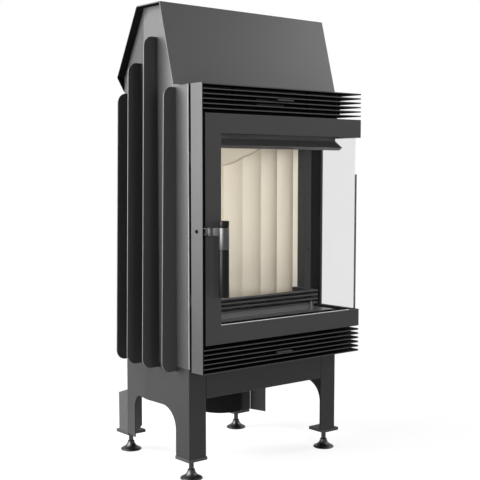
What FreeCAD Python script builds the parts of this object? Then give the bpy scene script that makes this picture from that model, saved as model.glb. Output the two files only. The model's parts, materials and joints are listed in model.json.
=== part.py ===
import FreeCAD, Part
import math
import os
import Sketcher

# Corner fireplace insert, in millimetres: +Z up, front towards -Y, X to the right.
# Every piece is drawn in one layout frame: X = 0 on the casing's middle plane, Y = 0 on the door's
# front face, Z = 0 on the floor. A placement then moves it so that the origin is under the middle.

doc = FreeCAD.newDocument("fireplace_insert")
sheet = doc.addObject("Spreadsheet::Sheet", "Sizes")
subparts = []


class Size:
    # a number together with the sheet formula that gives it

    def __init__(self, formula, value):
        self.formula = formula
        self.value = value

    def __add__(self, other):
        other = size_of(other)
        return Size(f"({self.formula} + {other.formula})", self.value + other.value)

    def __sub__(self, other):
        other = size_of(other)
        return Size(f"({self.formula} - {other.formula})", self.value - other.value)

    def __mul__(self, other):
        other = size_of(other)
        return Size(f"({self.formula} * {other.formula})", self.value * other.value)

    def __truediv__(self, other):
        other = size_of(other)
        return Size(f"({self.formula} / {other.formula})", self.value / other.value)

    def __radd__(self, other):
        return size_of(other) + self

    def __rsub__(self, other):
        return size_of(other) - self

    def __rmul__(self, other):
        return size_of(other) * self

    def __rtruediv__(self, other):
        return size_of(other) / self

    def __neg__(self):
        return 0 - self


def size_of(number):
    if isinstance(number, Size):
        return number
    return Size(f"({number})", float(number))


def tangent(angle):
    return Size(f"tan({angle.formula})", math.tan(math.radians(angle.value)))


def cosine(angle):
    return Size(f"cos({angle.formula})", math.cos(math.radians(angle.value)))


def sine(angle):
    return Size(f"sin({angle.formula})", math.sin(math.radians(angle.value)))


def diagonal(across, along):
    across = size_of(across)
    along = size_of(along)
    return Size(f"sqrt({across.formula}^2 + {along.formula}^2)", math.hypot(across.value, along.value))


def dimension(alias, value, note):
    row = len(sheet.getUsedCells()) // 2 + 1
    sheet.set(f"A{row}", note)
    sheet.set(f"B{row}", str(value))
    sheet.setAlias(f"B{row}", alias)
    return Size(f"Sizes.{alias}", float(value))


# Driving dimensions

wall = dimension("wall", 3, "thickness of the casing's sheets")
body_width = dimension("body_width", 507, "casing over its side walls")
body_front = dimension("body_front", 51, "face plate behind the door's front face")
straight_depth = dimension("straight_depth", 183, "straight part of a side wall")
bent_depth = dimension("bent_depth", 137, "bent part of a side wall, front to back")
bend_angle = dimension("bend_angle", 13, "bend of a side wall")
body_bottom = dimension("body_bottom", 285, "underside of the casing")
grille_top = dimension("grille_top", 1, "casing above the top slat")

hood_front = dimension("hood_front", 79.5, "foot of the hood's front slope")
hood_front_run = dimension("hood_front_run", 55, "depth of the hood's front slope")
hood_height = dimension("hood_height", 202, "flat top of the hood above the casing")
hood_flat = dimension("hood_flat", 99, "depth of the hood's flat top")
hood_angle = dimension("hood_angle", 49.5, "angle of the hood's rear slope")
hood_overhang = dimension("hood_overhang", 21.8, "hood past the side walls")
hood_lip = dimension("hood_lip", 36, "height of the hood's rear lip")
lip_bevel = dimension("lip_bevel", 21, "bevel at the ends of the rear lip")
flue_radius = dimension("flue_radius", 90, "outside of the flue collar")
flue_length = dimension("flue_length", 40, "length of the flue collar")
flue_down = dimension("flue_down", 119, "collar's middle down the rear slope")

intake_radius = dimension("intake_radius", 62.5, "outside of the air duct collar")
intake_back = dimension("intake_back", 192, "duct's middle behind the face plate")
intake_length = dimension("intake_length", 168, "air duct collar below the casing")
collar_wall = dimension("collar_wall", 3, "wall of the collars")

fin_depth_top = dimension("fin_depth_top", 40, "fin's reach at its top")
fin_depth_bottom = dimension("fin_depth_bottom", 52, "fin's reach at its bottom")
fin_drop = dimension("fin_drop", 11, "fins below the casing's underside")
fin_first = dimension("fin_first", 51, "first fin behind the face plate")
fin_pitch = dimension("fin_pitch", 74.7, "fin to fin")
fin_round = dimension("fin_round", 26, "radius of a fin's outer corners")
fin_length_1 = dimension("fin_length_1", 699, "length of the front fin")
fin_length_2 = dimension("fin_length_2", 826, "length of the second fin")
fin_length_3 = dimension("fin_length_3", 768, "length of the third fin")
fin_length_4 = dimension("fin_length_4", 697, "length of the rear fin")

frame_proud = dimension("frame_proud", 4.5, "frame and slats in front of the door")
frame_depth = dimension("frame_depth", 44.5, "front-to-back width of the frame plate")
frame_short = dimension("frame_short", 0.5, "frame plate's lower end above the lowest slat's underside")
frame_flange = dimension("frame_flange", 7, "inward flange of the frame plate")
spacer_inset = dimension("spacer_inset", 160, "frame spacer from an end of the plate")
spacer_height = dimension("spacer_height", 30, "height of a frame spacer")

slat_sheet = dimension("slat_sheet", 2.5, "thickness of a slat")
slat_pitch = dimension("slat_pitch", 11.6, "slat to slat")
slat_count = dimension("slat_count", 6, "slats in a grille")
slat_depth = dimension("slat_depth", 44, "width of a slat")
slat_side = dimension("slat_side", 1.7, "slats past the door's side")
slat_round = dimension("slat_round", 16, "radius of a slat's corner")
grille_gap = dimension("grille_gap", 8.5, "between the door and the nearest slat")
grille_side = dimension("grille_side", 200, "slats along the side, behind the door's front face")
post_width = dimension("post_width", 8, "width of a grille post")
post_depth = dimension("post_depth", 14, "depth of a grille post inside the slats")

lever_width = dimension("lever_width", 51, "width of an air lever's tab")
lever_reach = dimension("lever_reach", 9, "tab in front of the slats")
lever_sheet = dimension("lever_sheet", 3, "thickness of an air lever")
lever_stem = dimension("lever_stem", 20, "width of an air lever's stem")
lever_offset = dimension("lever_offset", 8, "lever's middle right of the middle plane")
slide_width = dimension("slide_width", 96, "air slide behind the slats")
slide_height = dimension("slide_height", 24, "height of an air slide")
slide_clearance = dimension("slide_clearance", 0.3, "between an air slide and the face plate")

door_left_gap = dimension("door_left_gap", 9.2, "between the frame plate and the door")
side_depth = dimension("side_depth", 31.5, "door's side from its outside to its seal")
door_height = dimension("door_height", 560, "door, bottom to top")
door_lift = dimension("door_lift", 63, "door's lower edge above the casing's underside")
door_side = dimension("door_side", 196, "door along the side")
door_sheet = dimension("door_sheet", 3, "sheet of the door frame")
door_round = dimension("door_round", 5, "radius of the door's outer corners")
stile_width = dimension("stile_width", 49.2, "door's stiles")
top_rail = dimension("top_rail", 48, "door's top rail")
bottom_rail = dimension("bottom_rail", 46, "door's bottom rail")
window_lip = dimension("window_lip", 8, "lip around the window")
seal_gap = dimension("seal_gap", 11, "between the door and the casing")
seal_width = dimension("seal_width", 11, "width of the door seal")
seal_clearance = dimension("seal_clearance", 0.4, "between the seal and the casing")
glass_sheet = dimension("glass_sheet", 4, "thickness of a pane")
glass_lap = dimension("glass_lap", 9, "pane behind the frame")
glass_fit = dimension("glass_fit", 0.4, "clearance around a pane")
retainer_height = dimension("retainer_height", 20, "height of a glass retainer")
retainer_sheet = dimension("retainer_sheet", 3, "lip of a glass retainer")

hinge_out = dimension("hinge_out", 20, "hinge axis outside the right wall")
hinge_back = dimension("hinge_back", 14, "hinge axis behind the door's rear stile")
hinge_radius = dimension("hinge_radius", 7, "hinge knuckle")
pin_radius = dimension("pin_radius", 4, "hinge pin")
pin_fit = dimension("pin_fit", 0.05, "radial clearance of pins and stems")
knuckle_height = dimension("knuckle_height", 30, "height of a knuckle")
knuckle_gap = dimension("knuckle_gap", 0.5, "between two knuckles")
lower_hinge = dimension("lower_hinge", 90, "lower hinge above the door's lower edge")
upper_hinge = dimension("upper_hinge", 410, "upper hinge above the door's lower edge")
leaf_width = dimension("leaf_width", 34, "fixed hinge leaf")

handle_height = dimension("handle_height", 268, "handle's bracket above the door's lower edge")
bracket_height = dimension("bracket_height", 19, "handle's bracket, bottom to top")
lug_height = dimension("lug_height", 2, "each lug of the bracket")
bracket_width = dimension("bracket_width", 14, "handle's bracket")
bracket_sheet = dimension("bracket_sheet", 3, "base of the handle's bracket")
pivot_in = dimension("pivot_in", 7, "handle's pivot from the door's left edge")
pivot_out = dimension("pivot_out", 10, "handle's pivot in front of the door")
pivot_radius = dimension("pivot_radius", 3, "handle's pivot pin")
lug_radius = dimension("lug_radius", 6.5, "rounded end of the bracket's lugs")
part_gap = dimension("part_gap", 0.4, "clearance between moving neighbours")
strap_sheet = dimension("strap_sheet", 5, "strap between pivot and handle")
strap_seat = dimension("strap_seat", 4, "strap let into the handle's sleeve")
grip_across = dimension("grip_across", 22, "handle's middle right of its pivot")
grip_out = dimension("grip_out", 25, "handle's middle in front of its pivot")
grip_radius = dimension("grip_radius", 12.3, "handle's round bar")
sleeve_length = dimension("sleeve_length", 52, "bright sleeve of the handle")
grip_length = dimension("grip_length", 115, "dark grip of the handle")
cap_length = dimension("cap_length", 17, "dark cap of the handle")
finger_sheet = dimension("finger_sheet", 3, "latch finger")
finger_length = dimension("finger_length", 26, "latch finger behind the door's front face")
keeper_sheet = dimension("keeper_sheet", 2.8, "latch keeper on the frame plate")
keeper_width = dimension("keeper_width", 16, "front-to-back width of the keeper")
keeper_height = dimension("keeper_height", 26, "height of the keeper")
keeper_back = dimension("keeper_back", 18, "keeper's middle behind the door's front face")
screw_radius = dimension("screw_radius", 2.5, "keeper's screw")
screw_head = dimension("screw_head", 4.5, "radius of the screw's head")
head_height = dimension("head_height", 2, "height of the screw's head")

leg_bottom = dimension("leg_bottom", 58, "lower end of the legs")
leg_flange = dimension("leg_flange", 53, "front flange of a leg panel")
arch_front = dimension("arch_front", 56, "arch behind the leg's front")
arch_rear = dimension("arch_rear", 53, "strip behind the arch")
arch_height = dimension("arch_height", 121, "height of the arch")
arch_front_round = dimension("arch_front_round", 56, "front corner of the arch")
arch_rear_round = dimension("arch_rear_round", 38, "rear corner of the arch")
rail_height = dimension("rail_height", 80, "height of the cross rail")
rear_leg_width = dimension("rear_leg_width", 45, "front flange of a rear leg")
rear_leg_depth = dimension("rear_leg_depth", 47, "side flange of a rear leg")
rear_leg_lap = dimension("rear_leg_lap", 45, "rear leg's front flange on the rear wall")
rear_side_front = dimension("rear_side_front", 121, "height of a rear leg's side flange at its front")
rear_side_back = dimension("rear_side_back", 105, "height of a rear leg's side flange at its back")
rear_leg_bevel = dimension("rear_leg_bevel", 14, "bevel of a rear leg's lower corner")
plate_size = dimension("plate_size", 58, "side of a foot plate")
plate_sheet = dimension("plate_sheet", 8.5, "thickness of a foot plate")
front_foot_back = dimension("front_foot_back", 28, "front feet behind the face plate")
left_foot_in = dimension("left_foot_in", 27.5, "front left foot from the left wall")
right_foot_in = dimension("right_foot_in", 14, "front right foot from the right wall")
rear_leg_in = dimension("rear_leg_in", 2.9, "rear leg inside the casing's rear corner")
rear_foot_back = dimension("rear_foot_back", 32, "rear feet behind the rear wall")
foot_radius = dimension("foot_radius", 27.5, "disc of a levelling foot")
foot_rim = dimension("foot_rim", 3, "thickness of the foot's disc")
stem_radius = dimension("stem_radius", 7, "stem of a levelling foot")
stem_reach = dimension("stem_reach", 25, "stem above the foot plate")

opening_left = dimension("opening_left", 35, "fire opening from the door's left edge")
opening_low = dimension("opening_low", 44, "fire opening above the door's lower edge")
opening_high = dimension("opening_high", 36, "fire opening below the door's upper edge")
opening_side = dimension("opening_side", 150, "side opening behind the door's front face")
jamb_width = dimension("jamb_width", 23, "post behind the side pane, across")
jamb_depth = dimension("jamb_depth", 50, "post behind the side pane, front to back")

board = dimension("board", 30, "thickness of a lining board")
flute_depth = dimension("flute_depth", 11, "depth of a flute")
rear_edge = dimension("rear_edge", 8, "flat beside the outer flutes of the rear board")
rear_flutes = 5
side_edge = dimension("side_edge", 3.3, "flat beside the flutes of a side board's bent part")
flute_land = dimension("flute_land", 3, "flat between two flutes")
lining_front = dimension("lining_front", 9, "left board behind the face plate")
lining_over = dimension("lining_over", 8, "side boards above the fire opening")
baffle_angle = dimension("baffle_angle", 51, "slope of the baffle board")
baffle_sheet = dimension("baffle_sheet", 25, "thickness of the baffle board")
baffle_drop = dimension("baffle_drop", 110, "baffle's lowest edge below the top of the fire opening")
baffle_run = dimension("baffle_run", 96, "depth of the baffle board")

deflector_sheet = dimension("deflector_sheet", 2, "air-wash deflector")
deflector_left = dimension("deflector_left", 53, "deflector's left end from the door's left edge")
deflector_drop = dimension("deflector_drop", 21, "deflector's fold below the fire opening")
deflector_nose = dimension("deflector_nose", 27, "deflector's nose in front of its fold")
nose_drop = dimension("nose_drop", 18, "height of the deflector's nose")
return_depth = dimension("return_depth", 13, "deflector's return lip")
return_drop = dimension("return_drop", 7, "drop of the return lip")

guard_front = dimension("guard_front", 29, "log guard behind the face plate")
guard_width = dimension("guard_width", 12, "width of the guard's slats")
guard_gap = dimension("guard_gap", 6.5, "between the left board and the guard")
guard_in = dimension("guard_in", 32.5, "guard's right face inside the right wall")
guard_side = dimension("guard_side", 95, "guard along the side")
guard_height = dimension("guard_height", 54, "guard above the floor")
guard_sheet = dimension("guard_sheet", 4, "slat of the guard")
guard_pitch = dimension("guard_pitch", 11.2, "slat to slat in the guard")
guard_count = dimension("guard_count", 4, "slats in the guard")
guard_round = dimension("guard_round", 14, "corner of the guard")
guard_back = dimension("guard_back", 3, "plate behind the guard's slats")

grate_width = dimension("grate_width", 230, "fire grate")
grate_depth = dimension("grate_depth", 150, "fire grate, front to back")
grate_back = dimension("grate_back", 175, "grate's middle behind the face plate")
grate_height = dimension("grate_height", 9, "fire grate above the floor")
grate_lap = dimension("grate_lap", 10, "grate's rim on the floor")
grate_slot = dimension("grate_slot", 10, "slot of the grate")
grate_bar = dimension("grate_bar", 9, "bar of the grate")
grate_slots = 9
pan_height = dimension("pan_height", 66, "ash pan")
pan_sheet = dimension("pan_sheet", 2, "sheet of the ash pan")
pan_foot = dimension("pan_foot", 20, "runners under the ash pan")
pan_runner = dimension("pan_runner", 18, "width of a runner")
pan_gap = dimension("pan_gap", 6, "ash pan inside the floor's opening")

# Places worked out from the driving dimensions

left = -body_width / 2
right = body_width / 2
fold = body_front + straight_depth
rear = fold + bent_depth
bend_in = tangent(bend_angle)
rear_inset = bent_depth * bend_in
wall_across = wall / cosine(bend_angle)
half_bend = tangent(bend_angle / 2)

door_bottom = body_bottom + door_lift
door_top = door_bottom + door_height
floor_top = door_bottom + opening_low
upper_low = door_top + grille_gap
lower_high = door_bottom - grille_gap
stack = slat_pitch * (slat_count - 1) + slat_sheet
body_top = upper_low + stack + grille_top

hood_top = body_top + hood_height
hood_flat_start = hood_front + hood_front_run
hood_flat_end = hood_flat_start + hood_flat
hood_rear = rear + wall
hood_run = hood_rear - hood_flat_end
hood_fall = tangent(hood_angle)
hood_low = hood_top - hood_run * hood_fall
hood_half = body_width / 2 + hood_overhang
hood_lean = hood_front_run / hood_height
hood_skin = wall * diagonal(1, hood_lean)
hood_slant = wall / cosine(hood_angle)
hood_inner_start = hood_flat_start + hood_skin - wall * hood_lean
hood_inner_end = hood_flat_end + (wall - hood_slant) / hood_fall

frame_inner = left + wall
frame_front = -frame_proud
frame_back = frame_front + frame_depth
frame_top = body_top
frame_bottom = lower_high - stack + frame_short
door_left = frame_inner + door_left_gap
front_tray = body_front - seal_gap
side_tray = right + seal_gap
door_right = side_tray + side_depth
window_left = door_left + stile_width
window_low = door_bottom + bottom_rail
window_high = door_top - top_rail
window_end = door_side - stile_width
slat_right = door_right + slat_side

opening_x = door_left + opening_left
opening_z_high = door_top - opening_high
bracket_low = door_bottom + handle_height
bracket_high = bracket_low + bracket_height
pivot_x = door_left + pivot_in
pivot_y = -pivot_out
hinge_x = right + hinge_out
hinge_y = door_side + hinge_back
board_across = (wall + board) / cosine(bend_angle)
rear_face = rear - wall - board
baffle_fall = tangent(baffle_angle)
baffle_low = opening_z_high - baffle_drop
lining_top = opening_z_high + lining_over

arch_top = leg_bottom + arch_height
rear_leg_x = right - rear_inset - rear_leg_in
rear_foot_x = rear_leg_x - plate_size / 2

# The fins reach furthest to both sides, the handle furthest forward and the rear feet furthest back.
third_fin = body_front + fin_first + fin_pitch * 2 - wall / 2
middle_x = (third_fin - fold) * bend_in / 2
front_y = (pivot_out + grip_out + grip_radius - rear - rear_foot_back - plate_size / 2) / 2


# Drawing helpers

def new_body(label):
    body = doc.addObject("PartDesign::Body", label)
    body.Label = label
    body.setExpression("Placement.Base.x", middle_x.formula)
    body.setExpression("Placement.Base.y", front_y.formula)
    subparts.append(body)
    return body


def plane_of(body, role):
    return [feature for feature in body.Origin.OriginFeatures if feature.Role == role][0]


def new_sketch(body, plane, level):
    # level: place of the sketch along X, Y or Z, whichever stands on its plane
    sketch = body.newObject("Sketcher::SketchObject", "outline")
    sketch.AttachmentSupport = [(plane_of(body, f"{plane}_Plane"), "")]
    sketch.MapMode = "FlatFace"
    level = size_of(level)
    along = -level if plane == "XZ" else level
    sketch.setExpression("AttachmentOffset.Base.z", along.formula)
    return sketch


def hold_point(sketch, geometry, end, point):
    for kind, place in zip(("DistanceX", "DistanceY"), point):
        place = size_of(place)
        index = sketch.addConstraint(Sketcher.Constraint(kind, -1, 1, geometry, end, place.value))
        sketch.setExpression(f"Constraints[{index}]", place.formula)


def vector(point):
    return FreeCAD.Vector(size_of(point[0]).value, size_of(point[1]).value, 0)


def corner_ends(points, i):
    # where the sides end at a corner; (x, y, radius) rounds a corner between a level and an upright side
    x, y = points[i][:2]
    if len(points[i]) == 2:
        return [(x, y)]
    ends = []
    for neighbour in (points[i - 1], points[(i + 1) % len(points)]):
        way = vector(neighbour) - vector(points[i])
        if abs(way.x) > abs(way.y):
            ends.append((x + points[i][2] * math.copysign(1, way.x), y))
        else:
            ends.append((x, y + points[i][2] * math.copysign(1, way.y)))
    return ends


def add_outline(sketch, points):
    # closed outline with straight sides, each end held by its distances from the origin
    count = len(points)
    ends = [corner_ends(points, i) for i in range(count)]
    sides = []
    for i in range(count):
        segment = Part.LineSegment(vector(ends[i][-1]), vector(ends[(i + 1) % count][0]))
        sides.append(sketch.addGeometry(segment))
    for i in range(count):
        hold_point(sketch, sides[i], 1, ends[i][-1])
        if len(ends[i]) == 1:
            sketch.addConstraint(Sketcher.Constraint("Coincident", sides[i - 1], 2, sides[i], 1))
        else:
            hold_point(sketch, sides[i - 1], 2, ends[i][0])
            add_corner(sketch, points[i], ends[i], sides[i - 1], sides[i])


def add_corner(sketch, corner, ends, before, after):
    # quarter circle between two sides
    first, last = (vector(end) for end in ends)
    point = vector(corner)
    middle = first + last - point
    to_left = (point - first).cross(last - point).z > 0
    turns = [math.atan2(end.y - middle.y, end.x - middle.x) for end in (first, last)]
    if not to_left:
        turns.reverse()
    circle = Part.Circle(middle, FreeCAD.Vector(0, 0, 1), corner[2].value)
    arc = sketch.addGeometry(Part.ArcOfCircle(circle, *turns))
    start, end = (1, 2) if to_left else (2, 1)
    sketch.addConstraint(Sketcher.Constraint("Coincident", before, 2, arc, start))
    sketch.addConstraint(Sketcher.Constraint("Coincident", arc, end, after, 1))
    index = sketch.addConstraint(Sketcher.Constraint("Radius", arc, corner[2].value))
    sketch.setExpression(f"Constraints[{index}]", corner[2].formula)


def add_circle(sketch, centre, radius):
    radius = size_of(radius)
    circle = sketch.addGeometry(Part.Circle(vector(centre), FreeCAD.Vector(0, 0, 1), radius.value))
    hold_point(sketch, circle, 3, centre)
    index = sketch.addConstraint(Sketcher.Constraint("Radius", circle, radius.value))
    sketch.setExpression(f"Constraints[{index}]", radius.formula)


def draw(sketch, shapes):
    for shape in shapes:
        if isinstance(shape, list):
            add_outline(sketch, shape)
        else:
            add_circle(sketch, shape[:2], shape[2])


def pad(body, plane, low, high, *shapes):
    # fills the shapes between two levels; a shape is a list of corners, or a circle (x, y, radius)
    sketch = new_sketch(body, plane, high if plane == "XZ" else low)
    draw(sketch, shapes)
    feature = body.newObject("PartDesign::Pad", "pad")
    feature.Profile = sketch
    feature.setExpression("Length", (size_of(high) - low).formula)
    return feature


def cut(body, plane, low, high, *shapes):
    # removes the shapes between two levels
    doc.recompute()
    before = body.Shape.Volume
    sketch = new_sketch(body, plane, low if plane == "XZ" else high)
    draw(sketch, shapes)
    feature = body.newObject("PartDesign::Pocket", "cut")
    feature.Profile = sketch
    feature.setExpression("Length", (size_of(high) - low).formula)
    doc.recompute()
    if not body.Shape.Volume < before - 1e-6:
        raise ValueError(f"a cut in {body.Label} removes nothing")
    return feature


def box(x_low, x_high, y_low, y_high):
    return [(x_low, y_low), (x_high, y_low), (x_high, y_high), (x_low, y_high)]


def stack_up(body, feature, pitch, count):
    # repeats a feature upwards
    pattern = body.newObject("PartDesign::LinearPattern", "pattern")
    pattern.Originals = [feature]
    pattern.Direction = (plane_of(body, "Z_Axis"), [""])
    body.Tip = pattern
    pattern.setExpression("Length", (pitch * (count - 1)).formula)
    pattern.setExpression("Occurrences", count.formula)


def round_edges(body, plane, corners, radius):
    # rounds the edges that stand on the plane at the given corners
    doc.recompute()
    base = body.Tip
    axes = {"XY": (0, 1, 2), "XZ": (0, 2, 1), "YZ": (1, 2, 0)}[plane]
    wanted = [[size_of(place).value for place in corner] for corner in corners]
    names = []
    for number, edge in enumerate(base.Shape.Edges, 1):
        if edge.Curve.TypeId != "Part::GeomLine":
            continue
        start, end = edge.Vertexes[0].Point, edge.Vertexes[-1].Point
        flat = max(abs(start[axes[0]] - end[axes[0]]), abs(start[axes[1]] - end[axes[1]]))
        if flat > 1e-4:
            continue
        near = [math.dist((start[axes[0]], start[axes[1]]), corner) for corner in wanted]
        if min(near) < 1e-3:
            names.append(f"Edge{number}")
    if len(names) < len(wanted):
        raise ValueError(f"an edge to round is missing in {body.Label}")
    feature = body.newObject("PartDesign::Fillet", "round")
    feature.Base = (base, names)
    feature.setExpression("Radius", size_of(radius).formula)
    return feature


def turn(body, profile):
    # full turn of a profile (radius, height) about the body's own Z axis
    sketch = new_sketch(body, "XZ", 0)
    add_outline(sketch, profile)
    feature = body.newObject("PartDesign::Revolution", "turned")
    feature.Profile = sketch
    feature.ReferenceAxis = (plane_of(body, "Z_Axis"), [""])
    feature.Angle = 360
    return feature


def place(body, x, y, z):
    body.setExpression("Placement.Base.x", (middle_x + x).formula)
    body.setExpression("Placement.Base.y", (front_y + y).formula)
    body.setExpression("Placement.Base.z", size_of(z).formula)


def tilt(body, angle):
    # turns a body about X, its own Z axis leaning backwards
    leaning = FreeCAD.Rotation(FreeCAD.Vector(-1, 0, 0), angle.value)
    body.Placement = FreeCAD.Placement(FreeCAD.Vector(0, 0, 0), leaning)
    body.setExpression("Placement.Rotation.Angle", angle.formula)


def mirrored(side, points):
    return [(side * x, *rest) for x, *rest in points]


# Casing

def bent_path(front, thickness):
    # outline of a bent left wall seen from above, from a front end to the rear wall's outside
    inside = thickness / cosine(bend_angle)
    return [
        (left, front),
        (left, fold),
        (left + rear_inset, rear),
        (left + rear_inset + inside, rear),
        (left + thickness, fold - thickness * half_bend),
        (left + thickness, front),
    ]


def side_wall(label, side):
    body = new_body(label)
    pad(body, "XY", body_bottom, hood_top - wall, mirrored(side, bent_path(body_front, wall)))
    margin = 2 * wall
    cut(body, "YZ", left - margin, right + margin, [
        (body_front - margin, body_top),
        (hood_front + hood_skin, body_top),
        (hood_inner_start, hood_top - wall),
        (hood_inner_start, hood_top + margin),
        (body_front - margin, hood_top + margin),
    ])
    end = rear + margin
    cut(body, "YZ", left - margin, right + margin, [
        (hood_inner_end, hood_top - wall),
        (end, hood_top - hood_slant - (end - hood_flat_end) * hood_fall),
        (end, hood_top + margin),
        (hood_inner_end, hood_top + margin),
    ])
    return body


def casing():
    side_wall("left_side_wall", 1)
    body = side_wall("right_side_wall", -1)
    cut(body, "YZ", right - 2 * wall, right + wall,
        box(body_front - wall, opening_side, floor_top, opening_z_high))

    body = new_body("rear_wall")
    half = right - rear_inset - wall_across
    top = hood_top - hood_slant - (rear - hood_flat_end) * hood_fall
    pad(body, "XZ", rear - wall, rear, box(-half, half, body_bottom, top))

    body = new_body("face_plate")
    inner = right - wall
    pad(body, "XZ", body_front, body_front + wall, [
        (-inner, body_bottom),
        (inner, body_bottom),
        (inner, floor_top),
        (opening_x, floor_top),
        (opening_x, opening_z_high),
        (inner, opening_z_high),
        (inner, body_top - wall),
        (-inner, body_top - wall),
    ])

    inside = [
        (-inner, body_front + wall),
        (inner, body_front + wall),
        (inner, fold - wall * half_bend),
        (half, rear - wall),
        (-half, rear - wall),
        (-inner, fold - wall * half_bend),
    ]
    body = new_body("floor_plate")
    pad(body, "XY", floor_top - wall, floor_top, inside)
    hole = grate_width / 2 - grate_lap
    hole_low = body_front + grate_back - grate_depth / 2 + grate_lap
    hole_high = body_front + grate_back + grate_depth / 2 - grate_lap
    cut(body, "XY", floor_top - wall, floor_top, box(-hole, hole, hole_low, hole_high))

    body = new_body("bottom_plate")
    pad(body, "XY", body_bottom, body_bottom + wall, inside)
    cut(body, "XY", body_bottom, body_bottom + wall,
        (0, body_front + intake_back, intake_radius - collar_wall))

    body = new_body("top_plate")
    pad(body, "XY", body_top - wall, body_top, box(-inner, inner, body_front, hood_front + 2 * wall))

    body = new_body("side_post")
    start = opening_side
    pad(body, "XY", floor_top, opening_z_high, [
        (inner, start),
        (inner, start + wall),
        (inner - jamb_width + wall, start + wall),
        (inner - jamb_width + wall, start + jamb_depth),
        (inner - jamb_width, start + jamb_depth),
        (inner - jamb_width, start),
    ])


def hood():
    body = new_body("hood_wrap")
    lip_low = hood_low - hood_lip
    pad(body, "YZ", -hood_half, hood_half, [
        (hood_front, body_top),
        (hood_flat_start, hood_top),
        (hood_flat_end, hood_top),
        (hood_rear, hood_low),
        (hood_rear, lip_low),
        (hood_rear - wall, lip_low),
        (hood_rear - wall, hood_low - hood_slant + wall * hood_fall),
        (hood_inner_end, hood_top - wall),
        (hood_inner_start, hood_top - wall),
        (hood_front + hood_skin, body_top),
    ])
    margin = 2 * wall
    taper = hood_half - hood_run * bend_in
    for side in (1, -1):
        cut(body, "XY", lip_low - margin, hood_top + margin, mirrored(side, [
            (hood_half, hood_flat_end),
            (taper, hood_rear),
            (taper, hood_rear + margin),
            (hood_half + margin, hood_rear + margin),
            (hood_half + margin, hood_flat_end),
        ]))
        cut(body, "XZ", hood_rear - wall - margin, hood_rear + margin, mirrored(side, [
            (taper, hood_low),
            (taper - lip_bevel, lip_low),
            (taper + margin, lip_low),
            (taper + margin, hood_low),
        ]))

    # the rear slope is pierced for the flue, square to its face
    flue_y = hood_flat_end + flue_down * cosine(hood_angle)
    flue_z = hood_top - flue_down * sine(hood_angle)
    sketch = new_sketch(body, "XY", 0)
    leaning = FreeCAD.Rotation(FreeCAD.Vector(-1, 0, 0), hood_angle.value)
    sketch.AttachmentOffset = FreeCAD.Placement(FreeCAD.Vector(0, flue_y.value, flue_z.value), leaning)
    sketch.setExpression("AttachmentOffset.Base.y", flue_y.formula)
    sketch.setExpression("AttachmentOffset.Base.z", flue_z.formula)
    sketch.setExpression("AttachmentOffset.Rotation.Angle", hood_angle.formula)
    add_circle(sketch, (0, 0), flue_radius - collar_wall)
    doc.recompute()
    before = body.Shape.Volume
    feature = body.newObject("PartDesign::Pocket", "flue_hole")
    feature.Profile = sketch
    feature.Midplane = True
    feature.setExpression("Length", (4 * wall).formula)
    doc.recompute()
    if not body.Shape.Volume < before - 1:
        raise ValueError("the flue hole removes nothing")

    body = new_body("flue_collar")
    bore = flue_radius - collar_wall
    turn(body, [
        (bore, 0),
        (flue_radius, 0),
        (flue_radius, flue_length),
        (bore, flue_length),
    ])
    tilt(body, hood_angle)
    place(body, 0, flue_y, flue_z)


def fin(label, side, number, length):
    body = new_body(label)
    fin_bottom = body_bottom - fin_drop
    top = fin_bottom + length
    front = body_front + fin_first + fin_pitch * (number - 1) - wall / 2
    on_bend = front.value > fold.value
    root = left + (front - fold) * bend_in if on_bend else left
    foot = root + wall * bend_in if on_bend else root
    pad(body, "XZ", front, front + wall, mirrored(side, [
        (foot, fin_bottom),
        (foot, top),
        (root - fin_depth_top, top),
        (root - fin_depth_bottom, fin_bottom),
    ]))
    if on_bend:
        # the foot follows the bent wall
        cut(body, "XY", fin_bottom, top, mirrored(side, [(root, front), (foot, front + wall), (foot, front)]))
    round_edges(body, "XZ", mirrored(side, [
        (root - fin_depth_top, top),
        (root - fin_depth_bottom, fin_bottom),
    ]), fin_round)


def fins():
    lengths = [fin_length_1, fin_length_2, fin_length_3, fin_length_4]
    for number, length in enumerate(lengths, 1):
        fin(f"left_fin_{number}", 1, number, length)
    for number in (3, 4):
        fin(f"right_fin_{number}", -1, number, lengths[number - 1])


# Stand

def leg_panel(label, side):
    body = new_body(label)
    path = bent_path(body_front + wall, wall)
    path = [(left, body_front)] + path[1:] + [(left + leg_flange, body_front + wall),
                                               (left + leg_flange, body_front)]
    pad(body, "XY", leg_bottom, body_bottom, mirrored(side, path))
    front = body_front + arch_front
    back = rear - arch_rear
    margin = 2 * wall
    cut(body, "YZ", left - margin, right + margin, [
        (front, leg_bottom - margin),
        (back, leg_bottom - margin),
        (back, arch_top, arch_rear_round),
        (front, arch_top, arch_front_round),
    ])


def rear_leg(label, side):
    body = new_body(label)
    outside = rear_leg_x
    top = body_bottom + rear_leg_lap
    pad(body, "XZ", rear, rear + wall, mirrored(side, [
        (-outside, leg_bottom),
        (-outside + rear_leg_width - rear_leg_bevel, leg_bottom),
        (-outside + rear_leg_width, leg_bottom + rear_leg_bevel),
        (-outside + rear_leg_width, top),
        (-outside, top),
    ]))
    edge_low, edge_high = (-outside, -outside + wall) if side == 1 else (outside - wall, outside)
    pad(body, "YZ", edge_low, edge_high, [
        (rear, leg_bottom),
        (rear + rear_leg_depth, leg_bottom),
        (rear + rear_leg_depth, leg_bottom + rear_side_back),
        (rear, leg_bottom + rear_side_front),
    ])


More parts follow.
